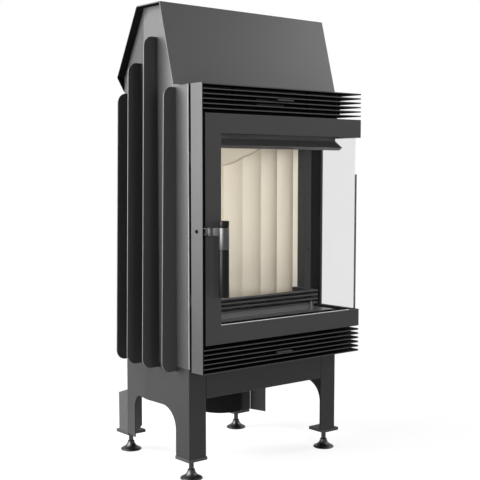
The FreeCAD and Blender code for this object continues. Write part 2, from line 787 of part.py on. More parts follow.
def foot(name, x, y):
    plate = new_body(f"{name}_foot_plate")
    half = plate_size / 2
    plate_low = leg_bottom - plate_sheet
    pad(plate, "XY", plate_low, leg_bottom,
        box(x - half, x + half, y - half, y + half), (x, y, stem_radius + pin_fit))

    body = new_body(f"{name}_levelling_foot")
    turn(body, [
        (0, 0),
        (foot_radius, 0),
        (foot_radius, foot_rim),
        (stem_radius, foot_rim),
        (stem_radius, leg_bottom + stem_reach),
        (0, leg_bottom + stem_reach),
    ])
    place(body, x, y, 0)


def stand():
    leg_panel("left_leg_panel", 1)
    leg_panel("right_leg_panel", -1)
    body = new_body("front_cross_rail")
    end = right - leg_flange
    pad(body, "XZ", body_front, body_front + wall, box(-end, end, body_bottom - rail_height, body_bottom))
    rear_leg("left_rear_leg", 1)
    rear_leg("right_rear_leg", -1)
    foot("front_left", left + left_foot_in, body_front + front_foot_back)
    foot("front_right", right - right_foot_in, body_front + front_foot_back)
    foot("rear_left", -rear_foot_x, rear + rear_foot_back)
    foot("rear_right", rear_foot_x, rear + rear_foot_back)

    body = new_body("air_intake_collar")
    bore = intake_radius - collar_wall
    turn(body, [
        (bore, -intake_length),
        (intake_radius, -intake_length),
        (intake_radius, 0),
        (bore, 0),
    ])
    place(body, 0, body_front + intake_back, body_bottom)


# Front frame and grilles

def grille(label, low):
    body = new_body(label)
    slat_back = frame_front + slat_depth
    slat_inner = slat_right - slat_depth
    slat = pad(body, "XY", low, low + slat_sheet, [
        (frame_inner, frame_front),
        (slat_right, frame_front, slat_round),
        (slat_right, grille_side),
        (slat_inner, grille_side),
        (slat_inner, slat_back),
        (frame_inner, slat_back),
    ])
    stack_up(body, slat, slat_pitch, slat_count)
    half = post_width / 2
    inner = slat_back - post_depth
    posts = [box(x - half, x + half, inner, body_front)
             for x in (left + wall + post_width, left / 2, right / 2)]
    side_inner = slat_inner + post_depth
    posts += [box(right, side_inner, y - half, y + half)
              for y in (body_front + post_width, grille_side - post_width)]
    pad(body, "XY", low, low + stack, *posts)


def air_lever(label, level):
    body = new_body(label)
    half = lever_width / 2
    stem = lever_stem / 2
    front = frame_front - lever_reach
    slide_back = body_front - slide_clearance
    pad(body, "XY", level - lever_sheet / 2, level + lever_sheet / 2, [
        (lever_offset - half, front),
        (lever_offset + half, front),
        (lever_offset + half, frame_front),
        (lever_offset + stem, frame_front + lever_reach),
        (lever_offset + stem, slide_back),
        (lever_offset - stem, slide_back),
        (lever_offset - stem, frame_front + lever_reach),
        (lever_offset - half, frame_front),
    ])
    pad(body, "XZ", slide_back - lever_sheet, slide_back,
        box(lever_offset - slide_width / 2, lever_offset + slide_width / 2,
            level - slide_height / 2, level + slide_height / 2))


def front_frame():
    body = new_body("frame_side_plate")
    pad(body, "XY", frame_bottom, frame_top, [
        (left, frame_front),
        (frame_inner, frame_front),
        (frame_inner, frame_back - wall),
        (frame_inner + frame_flange, frame_back - wall),
        (frame_inner + frame_flange, frame_back),
        (left, frame_back),
    ])
    screw_z = bracket_low + bracket_height / 2
    cut(body, "YZ", left - wall, frame_inner + wall, (keeper_back, screw_z, screw_radius + pin_fit))
    # the flange stops where the slats run up to the plate
    reach = 2 * frame_flange
    for low, high in ((frame_bottom - wall, lower_high + part_gap), (upper_low - part_gap, frame_top + wall)):
        cut(body, "XY", low, high,
            box(frame_inner, frame_inner + reach, frame_front - wall, frame_back + wall))
    grille("upper_grille", upper_low)
    grille("lower_grille", lower_high - stack)

    body = new_body("frame_spacers")
    for low in (frame_bottom + spacer_inset, frame_top - spacer_inset - spacer_height):
        pad(body, "XY", low, low + spacer_height,
            box(frame_inner, frame_inner + frame_flange, frame_back, body_front))

    air_lever("upper_air_lever", upper_low + slat_pitch * 2.5 + slat_sheet / 2)
    air_lever("lower_air_lever", lower_high - stack + slat_pitch * 2.5 + slat_sheet / 2)

    body = new_body("latch_keeper")
    pad(body, "YZ", frame_inner, frame_inner + keeper_sheet,
        box(keeper_back - keeper_width / 2, keeper_back + keeper_width / 2,
            screw_z - keeper_height / 2, screw_z + keeper_height / 2))
    cut(body, "YZ", frame_inner - wall, frame_inner + keeper_sheet / 2,
        (keeper_back, screw_z, screw_radius + pin_fit))

    body = new_body("keeper_screw")
    pad(body, "YZ", left, frame_inner + keeper_sheet / 2, (keeper_back, screw_z, screw_radius))
    pad(body, "YZ", left - head_height, left, (keeper_back, screw_z, screw_head))


# Lining and fittings of the fire chamber

def flute_radius(pitch):
    chord = pitch - flute_land
    return (chord * chord / 4 + flute_depth * flute_depth) / (2 * flute_depth)


def side_lining(label, side, front, straight_flutes):
    body = new_body(label)
    face = left + wall + board
    turn_y = fold - (wall + board) * half_bend
    end = rear_face
    inner_fold = fold - wall * half_bend
    wall_end = left + wall_across + (end - fold) * bend_in
    face_end = left + board_across + (end - fold) * bend_in
    outline = [
        (left + wall, inner_fold),
        (wall_end, end),
        (face_end, end),
        (face, turn_y),
        (face, front),
        (left + wall, front),
    ]
    pad(body, "XY", floor_top, lining_top, mirrored(side, outline))
    side_flute = ((end - turn_y) / cosine(bend_angle) - 2 * side_edge) / 2
    radius = flute_radius(side_flute)
    away = radius - flute_depth
    centres = []
    for number in range(straight_flutes):
        centres.append((face + away, turn_y - side_flute * (number + 0.5)))
    for number in range(2):
        along = side_flute * (number + 0.5)
        centres.append((face + along * sine(bend_angle) + away * cosine(bend_angle),
                        turn_y + along * cosine(bend_angle) - away * sine(bend_angle)))
    for x, y in centres:
        cut(body, "XY", floor_top, lining_top, (side * x, y, radius))
    baffle_line(body, left, right, rear, front)


def baffle_line(body, low, high, back, front):
    # trims a board along the underside of the baffle
    margin = 2 * wall
    start = front - margin
    base = rear - wall
    cut(body, "YZ", low, high, [
        (back + margin, baffle_low - (back + margin - base) * baffle_fall),
        (base - (lining_top - baffle_low) / baffle_fall, lining_top),
        (start, lining_top),
        (start, lining_top + margin),
        (back + margin, lining_top + margin),
    ])


def lining():
    body = new_body("rear_lining")
    half = right - rear_inset - wall_across
    base = rear - wall
    pad(body, "YZ", -half, half, [
        (rear_face, floor_top),
        (base, floor_top),
        (base, baffle_low),
        (rear_face, baffle_low + board * baffle_fall),
    ])
    board_end = right - board_across - (rear_face - fold) * bend_in
    rear_flute = 2 * (board_end - rear_edge) / rear_flutes
    radius = flute_radius(rear_flute)
    for number in range(rear_flutes):
        x = rear_flute * (number - (rear_flutes - 1) / 2)
        cut(body, "XY", floor_top - wall, lining_top,
            (x, rear_face - radius + flute_depth, radius))

    side_lining("left_lining", 1, body_front + lining_front, 3)
    side_lining("right_lining", -1, opening_side + jamb_depth, 0)

    body = new_body("baffle_board")
    inner_rear = right - rear_inset - wall_across - wall
    front = base - baffle_run
    inner_front = right - (front - fold) * bend_in - wall_across - wall
    thick = baffle_sheet / cosine(baffle_angle)
    high = baffle_low + baffle_run * baffle_fall + thick
    pad(body, "XY", baffle_low - wall, high, [
        (-inner_rear, base), (inner_rear, base), (inner_front, front), (-inner_front, front)])
    margin = 2 * wall
    cut(body, "YZ", left, right, [
        (base + margin, baffle_low - margin * baffle_fall),
        (front - margin, baffle_low + (baffle_run + margin) * baffle_fall),
        (front - margin, baffle_low - margin * baffle_fall - wall),
        (base + margin, baffle_low - margin * baffle_fall - wall),
    ])
    cut(body, "YZ", left, right, [
        (base + margin, baffle_low - margin * baffle_fall + thick),
        (front - margin, baffle_low + (baffle_run + margin) * baffle_fall + thick),
        (base + margin, baffle_low + (baffle_run + margin) * baffle_fall + thick),
    ])


def chamber_fittings():
    body = new_body("air_wash_deflector")
    back = body_front + wall
    fold_z = opening_z_high - deflector_drop
    sheet = deflector_sheet
    nose_y = back - deflector_nose
    nose_z = fold_z - nose_drop
    pad(body, "YZ", door_left + deflector_left, right - wall, [
        (back, opening_z_high + 2 * nose_drop),
        (back, fold_z),
        (nose_y, nose_z),
        (nose_y + return_depth, nose_z - return_drop),
        (nose_y + return_depth, nose_z - return_drop + sheet),
        (nose_y + 2 * sheet, nose_z + sheet / 2),
        (back + sheet, fold_z - sheet / 2),
        (back + sheet, opening_z_high + 2 * nose_drop),
    ])

    body = new_body("log_guard")
    front = body_front + guard_front
    start = left + wall + board + guard_gap
    end = right - guard_in
    guard_top = floor_top + guard_height
    low = guard_top - guard_pitch * (guard_count - 1) - guard_sheet
    slat = pad(body, "XY", low, low + guard_sheet, [
        (start, front),
        (end, front, guard_round),
        (end, front + guard_side),
        (end - guard_width, front + guard_side),
        (end - guard_width, front + guard_width),
        (start, front + guard_width),
    ])
    stack_up(body, slat, guard_pitch, guard_count)
    inner = end - guard_width
    row = front + guard_width
    pad(body, "XY", floor_top, guard_top, [
        (start, row),
        (inner, row),
        (inner, front + guard_side),
        (inner - guard_back, front + guard_side),
        (inner - guard_back, row + guard_back),
        (start, row + guard_back),
    ])

    body = new_body("grate")
    middle = body_front + grate_back
    half = grate_width / 2
    deep = grate_depth / 2
    pad(body, "XY", floor_top, floor_top + grate_height, box(-half, half, middle - deep, middle + deep))
    pitch = grate_slot + grate_bar
    reach = deep - 2 * grate_lap
    slots = []
    for number in range(grate_slots):
        x = pitch * (number - (grate_slots - 1) / 2)
        slots.append(box(x - grate_slot / 2, x + grate_slot / 2, middle - reach, middle + reach))
    cut(body, "XY", floor_top, floor_top + grate_height, *slots)

    body = new_body("ash_pan")
    base = body_bottom + wall + pan_foot
    half = grate_width / 2 - grate_lap - pan_gap
    deep = grate_depth / 2 - grate_lap - pan_gap
    pad(body, "XY", base, base + pan_height, box(-half, half, middle - deep, middle + deep))
    pad(body, "XY", base - pan_foot, base,
        box(-half, -half + pan_runner, middle - deep, middle + deep),
        box(half - pan_runner, half, middle - deep, middle + deep))
    cut(body, "XY", base + pan_sheet, base + pan_height,
        box(-half + pan_sheet, half - pan_sheet, middle - deep + pan_sheet, middle + deep - pan_sheet))


# Door

def corner_band(front, side, start, end, depth_front, depth_side):
    # L-shaped strip seen from above: along the front from start, round the corner, along the side to end
    return [
        (start, front),
        (side, front),
        (side, end),
        (side - depth_side, end),
        (side - depth_side, front + depth_front),
        (start, front + depth_front),
    ]


def door_frame():
    body = new_body("door_frame")
    sheet = door_sheet
    band = corner_band(0, door_right, door_left, door_side, front_tray, side_depth)
    band[1] = (door_right, 0, door_round)
    pad(body, "XY", door_bottom, door_top, band)
    margin = 2 * sheet
    # the frame is a tray of sheet, open towards the fire
    cut(body, "XY", door_bottom + sheet, door_top - sheet, [
        (door_left + sheet, sheet),
        (door_right - sheet, sheet),
        (door_right - sheet, door_side - sheet),
        (side_tray - margin, door_side - sheet),
        (side_tray - margin, front_tray + margin),
        (door_left + sheet, front_tray + margin),
    ])
    # the window takes the corner as well
    cut(body, "XZ", -margin, window_end, box(window_left, door_right + margin, window_low, window_high))
    # lips around the window
    side_lip = [
        (window_left - sheet, 0),
        (door_right, 0, door_round),
        (door_right, window_end + sheet),
        (door_right - window_lip, window_end + sheet),
        (door_right - window_lip, window_lip),
        (window_left - sheet, window_lip),
    ]
    pad(body, "XY", window_high, window_high + sheet, side_lip)
    pad(body, "XY", window_low - sheet, window_low, side_lip)
    pad(body, "XY", window_low - sheet, window_high + sheet,
        box(window_left - sheet, window_left, 0, window_lip),
        box(door_right - window_lip, door_right, window_end, window_end + sheet))
    # flange that carries the seal
    flange = seal_width + sheet
    rim = corner_band(front_tray - sheet, side_tray + sheet, door_left, door_side, sheet, sheet)
    pad(body, "XY", door_top - flange, door_top, rim)
    pad(body, "XY", door_bottom, door_bottom + flange, rim)
    pad(body, "XY", door_bottom, door_top,
        box(door_left, door_left + flange, front_tray - sheet, front_tray),
        box(side_tray, side_tray + sheet, door_side - flange, door_side))
    # slot for the latch finger at the left edge
    middle = bracket_low + bracket_height / 2
    half = bracket_height / 2 - lug_height + part_gap
    cut(body, "XZ", -margin, finger_length + pivot_out,
        box(door_left - sheet, door_left + bracket_width - sheet, middle - half, middle + half))


def glazing():
    sheet = glass_sheet
    front = window_lip
    low = window_low - glass_lap
    high = window_high + glass_lap
    outside = door_right - window_lip
    body = new_body("front_glass")
    pad(body, "XZ", front, front + sheet, box(window_left - glass_lap, outside, low, high))
    body = new_body("side_glass")
    pad(body, "YZ", outside - sheet, outside,
        box(front + sheet + glass_fit, window_end + glass_lap, low, high))

    # a retainer stands on the frame's sheet above or below the panes and grips them from behind
    back = front + sheet
    start = door_left + 2 * door_sheet + seal_width
    end = door_side - 2 * door_sheet - seal_width
    block = corner_band(door_sheet, door_right - door_sheet, start, end,
                        back + retainer_sheet - door_sheet, back + retainer_sheet - door_sheet)
    lip = corner_band(back, door_right - back, start, end, retainer_sheet, retainer_sheet)
    body = new_body("upper_glass_retainer")
    edge = high + glass_fit
    pad(body, "XY", edge, edge + retainer_height, block)
    pad(body, "XY", window_high, edge, lip)
    body = new_body("lower_glass_retainer")
    edge = low - glass_fit
    pad(body, "XY", edge - retainer_height, edge, block)
    pad(body, "XY", edge, window_low, lip)

    body = new_body("door_seal")
    depth = seal_gap - seal_clearance
    inset = door_sheet / 2
    band = corner_band(front_tray, side_tray, door_left + inset, door_side - inset, depth, depth)
    pad(body, "XY", door_top - inset - seal_width, door_top - inset, band)
    pad(body, "XY", door_bottom + inset, door_bottom + inset + seal_width, band)
    pad(body, "XY", door_bottom + inset, door_top - inset,
        box(door_left + inset, door_left + inset + seal_width, front_tray, front_tray + depth),
        box(side_tray - depth, side_tray, door_side - inset - seal_width, door_side - inset))


def hinges():
    fixed = new_body("hinge_brackets")
    swinging = new_body("door_hinge_leaves")
    for above in (lower_hinge, upper_hinge):
        low = door_bottom + above
        middle = low + knuckle_height
        start = middle + knuckle_gap
        top = start + knuckle_height
        web = hinge_radius / 2
        pad(fixed, "XY", low, middle, box(right, right + wall, hinge_y - web, hinge_y + leaf_width - web))
        pad(fixed, "XY", low, middle, box(right, hinge_x, hinge_y - web, hinge_y + web))
        pad(fixed, "XY", low, middle, (hinge_x, hinge_y, hinge_radius))
        pad(fixed, "XY", low, top, (hinge_x, hinge_y, pin_radius))
        pad(swinging, "XY", start, top, box(side_tray, door_right - door_round, door_side, door_side + wall))
        pad(swinging, "XY", start, top, box(hinge_x - web, hinge_x + web, door_side, hinge_y))
        pad(swinging, "XY", start, top, (hinge_x, hinge_y, hinge_radius))
        cut(swinging, "XY", start, top, (hinge_x, hinge_y, pin_radius + pin_fit))


def strap(x, y, start, end):
    # outline of the handle's strap from above, between two distances from a pivot at (x, y)
    reach = diagonal(grip_across, grip_out)
    across = grip_across / reach
    out = grip_out / reach
    half = strap_sheet / 2
    return [(x + across * far + out * half * edge, y - out * far + across * half * edge)
            for far, edge in ((start, -1), (end, -1), (end, 1), (start, 1))]


def handle():
    body = new_body("handle_bracket")
    base = bracket_sheet
    end = door_left + bracket_width
    pad(body, "XZ", -base, 0, box(door_left, end, bracket_low, bracket_low + lug_height),
        box(door_left, end, bracket_high - lug_height, bracket_high))
    for low in (bracket_low, bracket_high - lug_height):
        pad(body, "XY", low, low + lug_height,
            box(pivot_x - lug_radius, pivot_x + lug_radius, pivot_y, -base / 2))
        pad(body, "XY", low, low + lug_height, (pivot_x, pivot_y, lug_radius))
    pad(body, "XY", bracket_low, bracket_high, (pivot_x, pivot_y, pivot_radius))

    # knuckle on the pivot, strap to the round bar, finger that passes through the door's slot
    body = new_body("handle_arm")
    low = bracket_low + lug_height + part_gap
    high = bracket_high - lug_height - part_gap
    reach = diagonal(grip_across, grip_out)
    clear = lug_radius + 2 * part_gap
    strap_end = reach - grip_radius + strap_seat
    half = finger_sheet
    pad(body, "XY", low, high, (pivot_x, pivot_y, lug_radius))
    pad(body, "XY", low, high, strap(pivot_x, pivot_y, size_of(0), clear + strap_sheet))
    pad(body, "XY", bracket_low, bracket_high, strap(pivot_x, pivot_y, clear, strap_end))
    finger_x = door_left - part_gap - finger_sheet
    pad(body, "XY", low, high, [
        (pivot_x, pivot_y - half),
        (pivot_x, pivot_y + half),
        (finger_x + finger_sheet, pivot_y / 2 + half),
        (finger_x + finger_sheet, finger_length),
        (finger_x, finger_length),
        (finger_x, pivot_y / 2 - half),
    ])
    cut(body, "XY", low, high, (pivot_x, pivot_y, pivot_radius + pin_fit))

    grip_x = pivot_x + grip_across
    grip_y = pivot_y - grip_out
    sleeve_low = bracket_high - sleeve_length
    body = new_body("handle_sleeve")
    turn(body, [(0, 0), (grip_radius, 0), (grip_radius, sleeve_length), (0, sleeve_length)])
    place(body, grip_x, grip_y, sleeve_low)
    cut(body, "XY", sleeve_length - bracket_height, sleeve_length,
        strap(-grip_across, grip_out, reach - 2 * grip_radius, strap_end))
    body = new_body("handle_grip")
    turn(body, [(0, 0), (grip_radius, 0), (grip_radius, grip_length), (0, grip_length)])
    place(body, grip_x, grip_y, sleeve_low - grip_length)
    body = new_body("handle_cap")
    turn(body, [(0, 0), (grip_radius, 0), (grip_radius, cap_length), (0, cap_length)])
    place(body, grip_x, grip_y, bracket_high)


casing()
hood()
fins()
stand()
front_frame()
lining()
chamber_fittings()
door_frame()
glazing()
hinges()
handle()
doc.recompute()

for item in doc.Objects:
    if "Invalid" in item.State or "Error" in item.State:
        raise ValueError(f"{item.Label} failed: {item.State}")
for body in subparts:
    if body.Shape.isNull() or not body.Shape.isValid():
        raise ValueError(f"{body.Label} has no sound shape")

os.makedirs("parts", exist_ok=True)
for body in subparts:
    body.Shape.exportStep(f"parts/{body.Label}.step")
print(f"{len(subparts)} sub-parts written")
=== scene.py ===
import json
import math
import bpy
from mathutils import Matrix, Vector


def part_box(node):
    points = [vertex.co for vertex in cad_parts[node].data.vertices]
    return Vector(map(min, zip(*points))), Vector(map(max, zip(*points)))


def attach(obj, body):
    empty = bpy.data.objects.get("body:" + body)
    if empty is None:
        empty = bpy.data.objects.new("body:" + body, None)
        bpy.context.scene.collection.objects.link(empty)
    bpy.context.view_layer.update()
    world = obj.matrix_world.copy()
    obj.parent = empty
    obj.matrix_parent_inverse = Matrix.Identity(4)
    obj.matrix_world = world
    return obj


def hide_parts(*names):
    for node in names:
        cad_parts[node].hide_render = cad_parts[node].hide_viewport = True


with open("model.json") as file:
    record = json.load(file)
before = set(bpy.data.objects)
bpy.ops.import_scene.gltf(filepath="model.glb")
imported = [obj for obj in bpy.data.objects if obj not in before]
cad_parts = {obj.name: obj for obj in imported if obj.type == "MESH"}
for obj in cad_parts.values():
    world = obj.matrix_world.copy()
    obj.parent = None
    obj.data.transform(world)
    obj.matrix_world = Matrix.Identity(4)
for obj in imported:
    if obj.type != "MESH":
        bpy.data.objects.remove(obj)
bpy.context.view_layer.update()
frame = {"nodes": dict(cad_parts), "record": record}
nodes = frame["nodes"]
record = frame["record"]
bodyOf = {node: body for body, members in record["behaviour"]["bodies"].items() for node in members}
slotOf = {row["node"]: row["material_slot"] for row in record["subparts"]}
print("frame loaded:", len(nodes), "nodes")


# small helpers

meshCare = {"sharpFrom": 38, "weld": 0.00002, "poleWeld": 0.00001, "flatWithin": 0.6, "turnedSmooth": 32}
facing = 0.9    # a face looks along an axis when its normal has at least this share of it


def freshStart():
    if bpy.context.object and bpy.context.object.mode != "OBJECT":
        bpy.ops.object.mode_set(mode="OBJECT")
    bpy.ops.object.select_all(action="DESELECT")


def pick(piece):
    freshStart()
    bpy.context.view_layer.objects.active = piece
    piece.select_set(True)
    return piece


def editAll(piece):
    pick(piece)
    bpy.ops.object.mode_set(mode="EDIT")
    bpy.ops.mesh.select_all(action="SELECT")


def selectFaces(piece, test):
    # faces are picked by their middle and normal
    pick(piece)
    bpy.ops.object.mode_set(mode="EDIT")
    bpy.ops.mesh.select_mode(type="FACE")
    bpy.ops.mesh.select_all(action="DESELECT")
    bpy.ops.object.mode_set(mode="OBJECT")
    for face in piece.data.polygons:
        face.select = test(face.center, face.normal)
    bpy.ops.object.mode_set(mode="EDIT")


def softenEdges(piece, width, segments, smooth):
    pick(piece)
    soft = piece.modifiers.new("softEdges", "BEVEL")
    soft.width = width
    soft.segments = segments
    soft.limit_method = "ANGLE"
    soft.angle_limit = math.radians(meshCare["sharpFrom"])
    soft.miter_outer = "MITER_ARC"
    bpy.ops.object.modifier_apply(modifier=soft.name)
    bpy.ops.object.shade_smooth_by_angle(angle=math.radians(smooth))


def settle(piece, body, slot, finish, *replaced):
    pick(piece)
    bpy.ops.object.transform_apply(location=True, rotation=True, scale=True)
    piece.data.materials.clear()
    piece.data.materials.append(finish)
    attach(piece, body)
    if replaced:
        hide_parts(*replaced)
    return piece


def coverFaces(piece, finish, test):
    # a second finish on the faces that the test picks by their middle and normal
    piece.data.materials.append(finish)
    last = len(piece.data.materials) - 1
    for face in piece.data.polygons:
        if test(face.center, face.normal):
            face.material_index = last


def softCopy(node, finish, width, segments=2, smooth=5):
    # the node's own sheet or bar with its edges broken; folds stay crisp, facets of curves run together
    pick(nodes[node])
    bpy.ops.object.duplicate()
    piece = bpy.context.object
    for key in list(piece.keys()):
        del piece[key]
    piece.parent = None
    piece.name = f"{node}_finished"
    editAll(piece)
    bpy.ops.mesh.remove_doubles(threshold=meshCare["weld"])
    bpy.ops.mesh.dissolve_limited(angle_limit=math.radians(meshCare["flatWithin"]))
    bpy.ops.object.mode_set(mode="OBJECT")
    softenEdges(piece, width, segments, smooth)
    return settle(piece, bodyOf[node], slotOf[node], finish, node)


def drawnLine(name, points):
    # a small plane is shrunk to one point and drawn out along the others
    freshStart()
    bpy.ops.mesh.primitive_plane_add(size=0.01)
    piece = bpy.context.object
    piece.name = name
    bpy.ops.object.mode_set(mode="EDIT")
    bpy.ops.mesh.select_mode(type="VERT")
    bpy.ops.mesh.select_all(action="SELECT")
    bpy.ops.mesh.merge(type="CENTER")
    bpy.ops.transform.translate(value=points[0])
    for before, after in zip(points, points[1:]):
        bpy.ops.mesh.extrude_region_move(TRANSFORM_OT_translate={"value": after - before})
    bpy.ops.mesh.select_all(action="SELECT")
    return piece


def turnedPiece(name, profile, steps):
    # an outline of (radius, height), spun about the standing axis at the origin
    piece = drawnLine(name, [Vector((radius, 0, height)) for radius, height in profile])
    bpy.ops.mesh.spin(steps=steps, angle=2 * math.pi, center=(0, 0, 0), axis=(0, 0, 1))
    bpy.ops.mesh.select_all(action="SELECT")
    bpy.ops.mesh.remove_doubles(threshold=meshCare["poleWeld"])
    bpy.ops.mesh.normals_make_consistent(inside=False)
    bpy.ops.object.mode_set(mode="OBJECT")
    bpy.ops.object.shade_smooth_by_angle(angle=math.radians(meshCare["turnedSmooth"]))
    return piece


def copyTo(model, name, place):
    # a copy with its own mesh; settle puts the place into it
    pick(model)
    bpy.ops.object.duplicate()
    piece = bpy.context.object
    piece.name = name
    piece.location = place
    return piece


def putAway(model):
    pick(model)
    bpy.ops.object.delete()


# shader sums

class Shade:
    # a socket in a finish, so that sums on it read as plain expressions
    def __init__(self, tree, socket):
        self.tree = tree
        self.socket = socket

    def make(self, kind, settings, sockets, output=0):
        node = self.tree.nodes.new(kind)
        for name, value in settings.items():
            setattr(node, name, value)
        for name, value in sockets.items():
            if isinstance(value, Shade):
                self.tree.links.new(value.socket, node.inputs[name])
            else:
                node.inputs[name].default_value = value
        return Shade(self.tree, node.outputs[output])

    def sum(self, operation, first, second):
        return self.make("ShaderNodeMath", {"operation": operation}, {0: first, 1: second})

    def __add__(self, other):
        return self.sum("ADD", self, other)

    def __radd__(self, other):
        return self.sum("ADD", other, self)

    def __sub__(self, other):
        return self.sum("SUBTRACT", self, other)

    def __rsub__(self, other):
        return self.sum("SUBTRACT", other, self)

    def __mul__(self, other):
        return self.sum("MULTIPLY", self, other)

    def __rmul__(self, other):
        return self.sum("MULTIPLY", other, self)

    def __gt__(self, other):
        return self.sum("GREATER_THAN", self, other)

    def noise(self, scale, detail=2.0, stretch=(1, 1, 1)):
        place = self.make("ShaderNodeMapping", {}, {"Vector": self, "Scale": stretch}, "Vector")
        return self.make("ShaderNodeTexNoise", {}, {"Vector": place, "Scale": scale, "Detail": detail}, "Fac")

    def blend(self, low, high):
        return self.make("ShaderNodeMix", {"data_type": "RGBA"}, {0: self, 6: (*low, 1), 7: (*high, 1)}, 2)

    def bump(self, strength, distance):
        return self.make("ShaderNodeBump", {}, {"Height": self, "Strength": strength, "Distance": distance},
                         "Normal")

    def feeds(self, shader, socket):
        self.tree.links.new(self.socket, shader.inputs[socket])


def startFinish(name, fixed):
    finish = bpy.data.materials.new(name)
    finish.use_nodes = True
    tree = finish.node_tree
    shader = tree.nodes["Principled BSDF"]
    for socket, value in fixed.items():
        shader.inputs[socket].default_value = value
    place = tree.nodes.new("ShaderNodeTexCoord")
    return finish, shader, Shade(tree, place.outputs["Object"])


# heat-proof paint on sheet steel

paintLook = {"grain": 900.0, "cloud": 6.0, "spread": 0.16, "roughSpread": 0.10, "bump": 0.12,
             "bumpHeight": 0.0004, "grainShare": 0.55, "cloudShare": 0.45, "sheen": 0.20}


def heatPaint(name, tone, roughness, sheen=paintLook["sheen"]):
    finish, shader, place = startFinish(name, {"Specular IOR Level": sheen})
    grain = place.noise(paintLook["grain"], 3.0)
    cloud = place.noise(paintLook["cloud"], 4.0)
    mixed = grain * paintLook["grainShare"] + cloud * paintLook["cloudShare"]
    low = [level * (1 - paintLook["spread"]) for level in tone]
    high = [level * (1 + paintLook["spread"]) for level in tone]
    mixed.blend(low, high).feeds(shader, "Base Color")
    rough = roughness + (cloud - 0.5) * paintLook["roughSpread"] + (grain - 0.5) * paintLook["roughSpread"]
    rough.feeds(shader, "Roughness")
    grain.bump(paintLook["bump"], paintLook["bumpHeight"]).feeds(shader, "Normal")
    return finish


casingPaint = heatPaint("casing_paint", (0.026, 0.026, 0.027), 0.46)
legPaint = heatPaint("leg_paint", (0.0085, 0.0085, 0.009), 0.46)
hoodPaint = heatPaint("hood_paint", (0.028, 0.028, 0.029), 0.44)
finPaint = heatPaint("fin_paint", (0.017, 0.017, 0.0175), 0.50)
framePaint = heatPaint("front_frame_paint", (0.020, 0.020, 0.021), 0.44)
doorPaint = heatPaint("door_paint", (0.016, 0.016, 0.0165), 0.46)
guardPaint = heatPaint("guard_paint", (0.040, 0.040, 0.040), 0.42)
platePaint = heatPaint("foot_plate_paint", (0.020, 0.020, 0.020), 0.50)
innerPaint = heatPaint("inner_paint", (0.016, 0.016, 0.016), 0.55)
# painted light and reflection for the hearth ledge
litLedgePaint = heatPaint("ledge_painted_light", (0.115, 0.115, 0.115), 0.34)
# painted highlight for sheet edges
edgeHighlightPaint = heatPaint("edge_painted_highlight", (0.19, 0.19, 0.19), 0.40)
# painted highlight for fin edges
finEdgeHighlight = heatPaint("fin_edge_painted_highlight", (0.060, 0.060, 0.060), 0.44)
# painted light for the lit rear leg
litRearLegPaint = heatPaint("rear_leg_painted_light", (0.028, 0.028, 0.028), 0.44)
# painted shade for shaded leg faces
paintedShadePaint = heatPaint("painted_shade_paint", (0.018, 0.018, 0.018), 0.75, 0.04)


# matt black for sheet inside the grilles, under the hood and in narrow gaps: painted shade where no light
# reaches, and the dark joints

shadeBlackLook = {"grain": 160.0, "deep": (0.0025, 0.0025, 0.0025), "paler": (0.0065, 0.0063, 0.0060),
            "roughness": 0.80, "roughSpread": 0.2, "bump": 0.1, "bumpHeight": 0.0005, "sheen": 0.02}


def shadowBlack(name):
    finish, shader, place = startFinish(name, {"Specular IOR Level": shadeBlackLook["sheen"]})
    mottle = place.noise(shadeBlackLook["grain"], 4.0)
    mottle.blend(shadeBlackLook["deep"], shadeBlackLook["paler"]).feeds(shader, "Base Color")
    (shadeBlackLook["roughness"] + (mottle - 0.5) * shadeBlackLook["roughSpread"]).feeds(shader, "Roughness")
    mottle.bump(shadeBlackLook["bump"], shadeBlackLook["bumpHeight"]).feeds(shader, "Normal")
    return finish


# one black serves painted shade and dark joints; its mottling is a random tone
shadeAndJointBlack = shadowBlack("painted_shade_and_joint_black")


# glass ceramic panes

glassLook = {"tint": (0.010, 0.011, 0.011), "veil": 0.065, "smear": 0.015, "edge": 0.84,
             "edgeWidth": 0.0038, "rimHeight": 0.0006, "reflectionFrom": 0.762, "reflectionTone": (0.85, 0.87, 0.86),
             "gloss": 0.03, "glossSpread": 0.05, "widePane": 0.1}


def paneGlass(name, low, high):
    finish, shader, place = startFinish(name, {"IOR": 1.5})
    smear = place.noise(5.0, 3.0)
    (glassLook["gloss"] + smear * glassLook["glossSpread"]).feeds(shader, "Roughness")
    height = place.make("ShaderNodeSeparateXYZ", {}, {"Vector": place}, "Z")
    across = place.make("ShaderNodeSeparateXYZ", {}, {"Vector": place}, "X")
    rim = (height > high[2] - glassLook["rimHeight"]) + (low[2] + glassLook["rimHeight"] - height > 0)
    if high[0] - low[0] > glassLook["widePane"]:
        rim = rim + (across > high[0] - glassLook["edgeWidth"])    # ground edge at the glass corner
    # above a set height the rims are painted bright: a painted reflection; lower down they keep the dark tint
    bright = height > glassLook["reflectionFrom"]
    (bright * rim).blend(glassLook["tint"], glassLook["reflectionTone"]).feeds(shader, "Base Color")
    veil = glassLook["veil"] + (smear - 0.5) * glassLook["smear"] + rim * glassLook["edge"]
    veil.feeds(shader, "Alpha")
    return finish


# pressed mineral board of the fire chamber

boardLook = {"cream": (0.80, 0.74, 0.625), "shade": (0.70, 0.645, 0.54), "speck": 420.0, "cloud": 11.0,
             "speckShare": 0.45, "cloudShare": 0.55, "roughness": 0.88, "roughSpread": 0.12, "bump": 0.25,
             "bumpHeight": 0.0006, "sheen": 0.25}


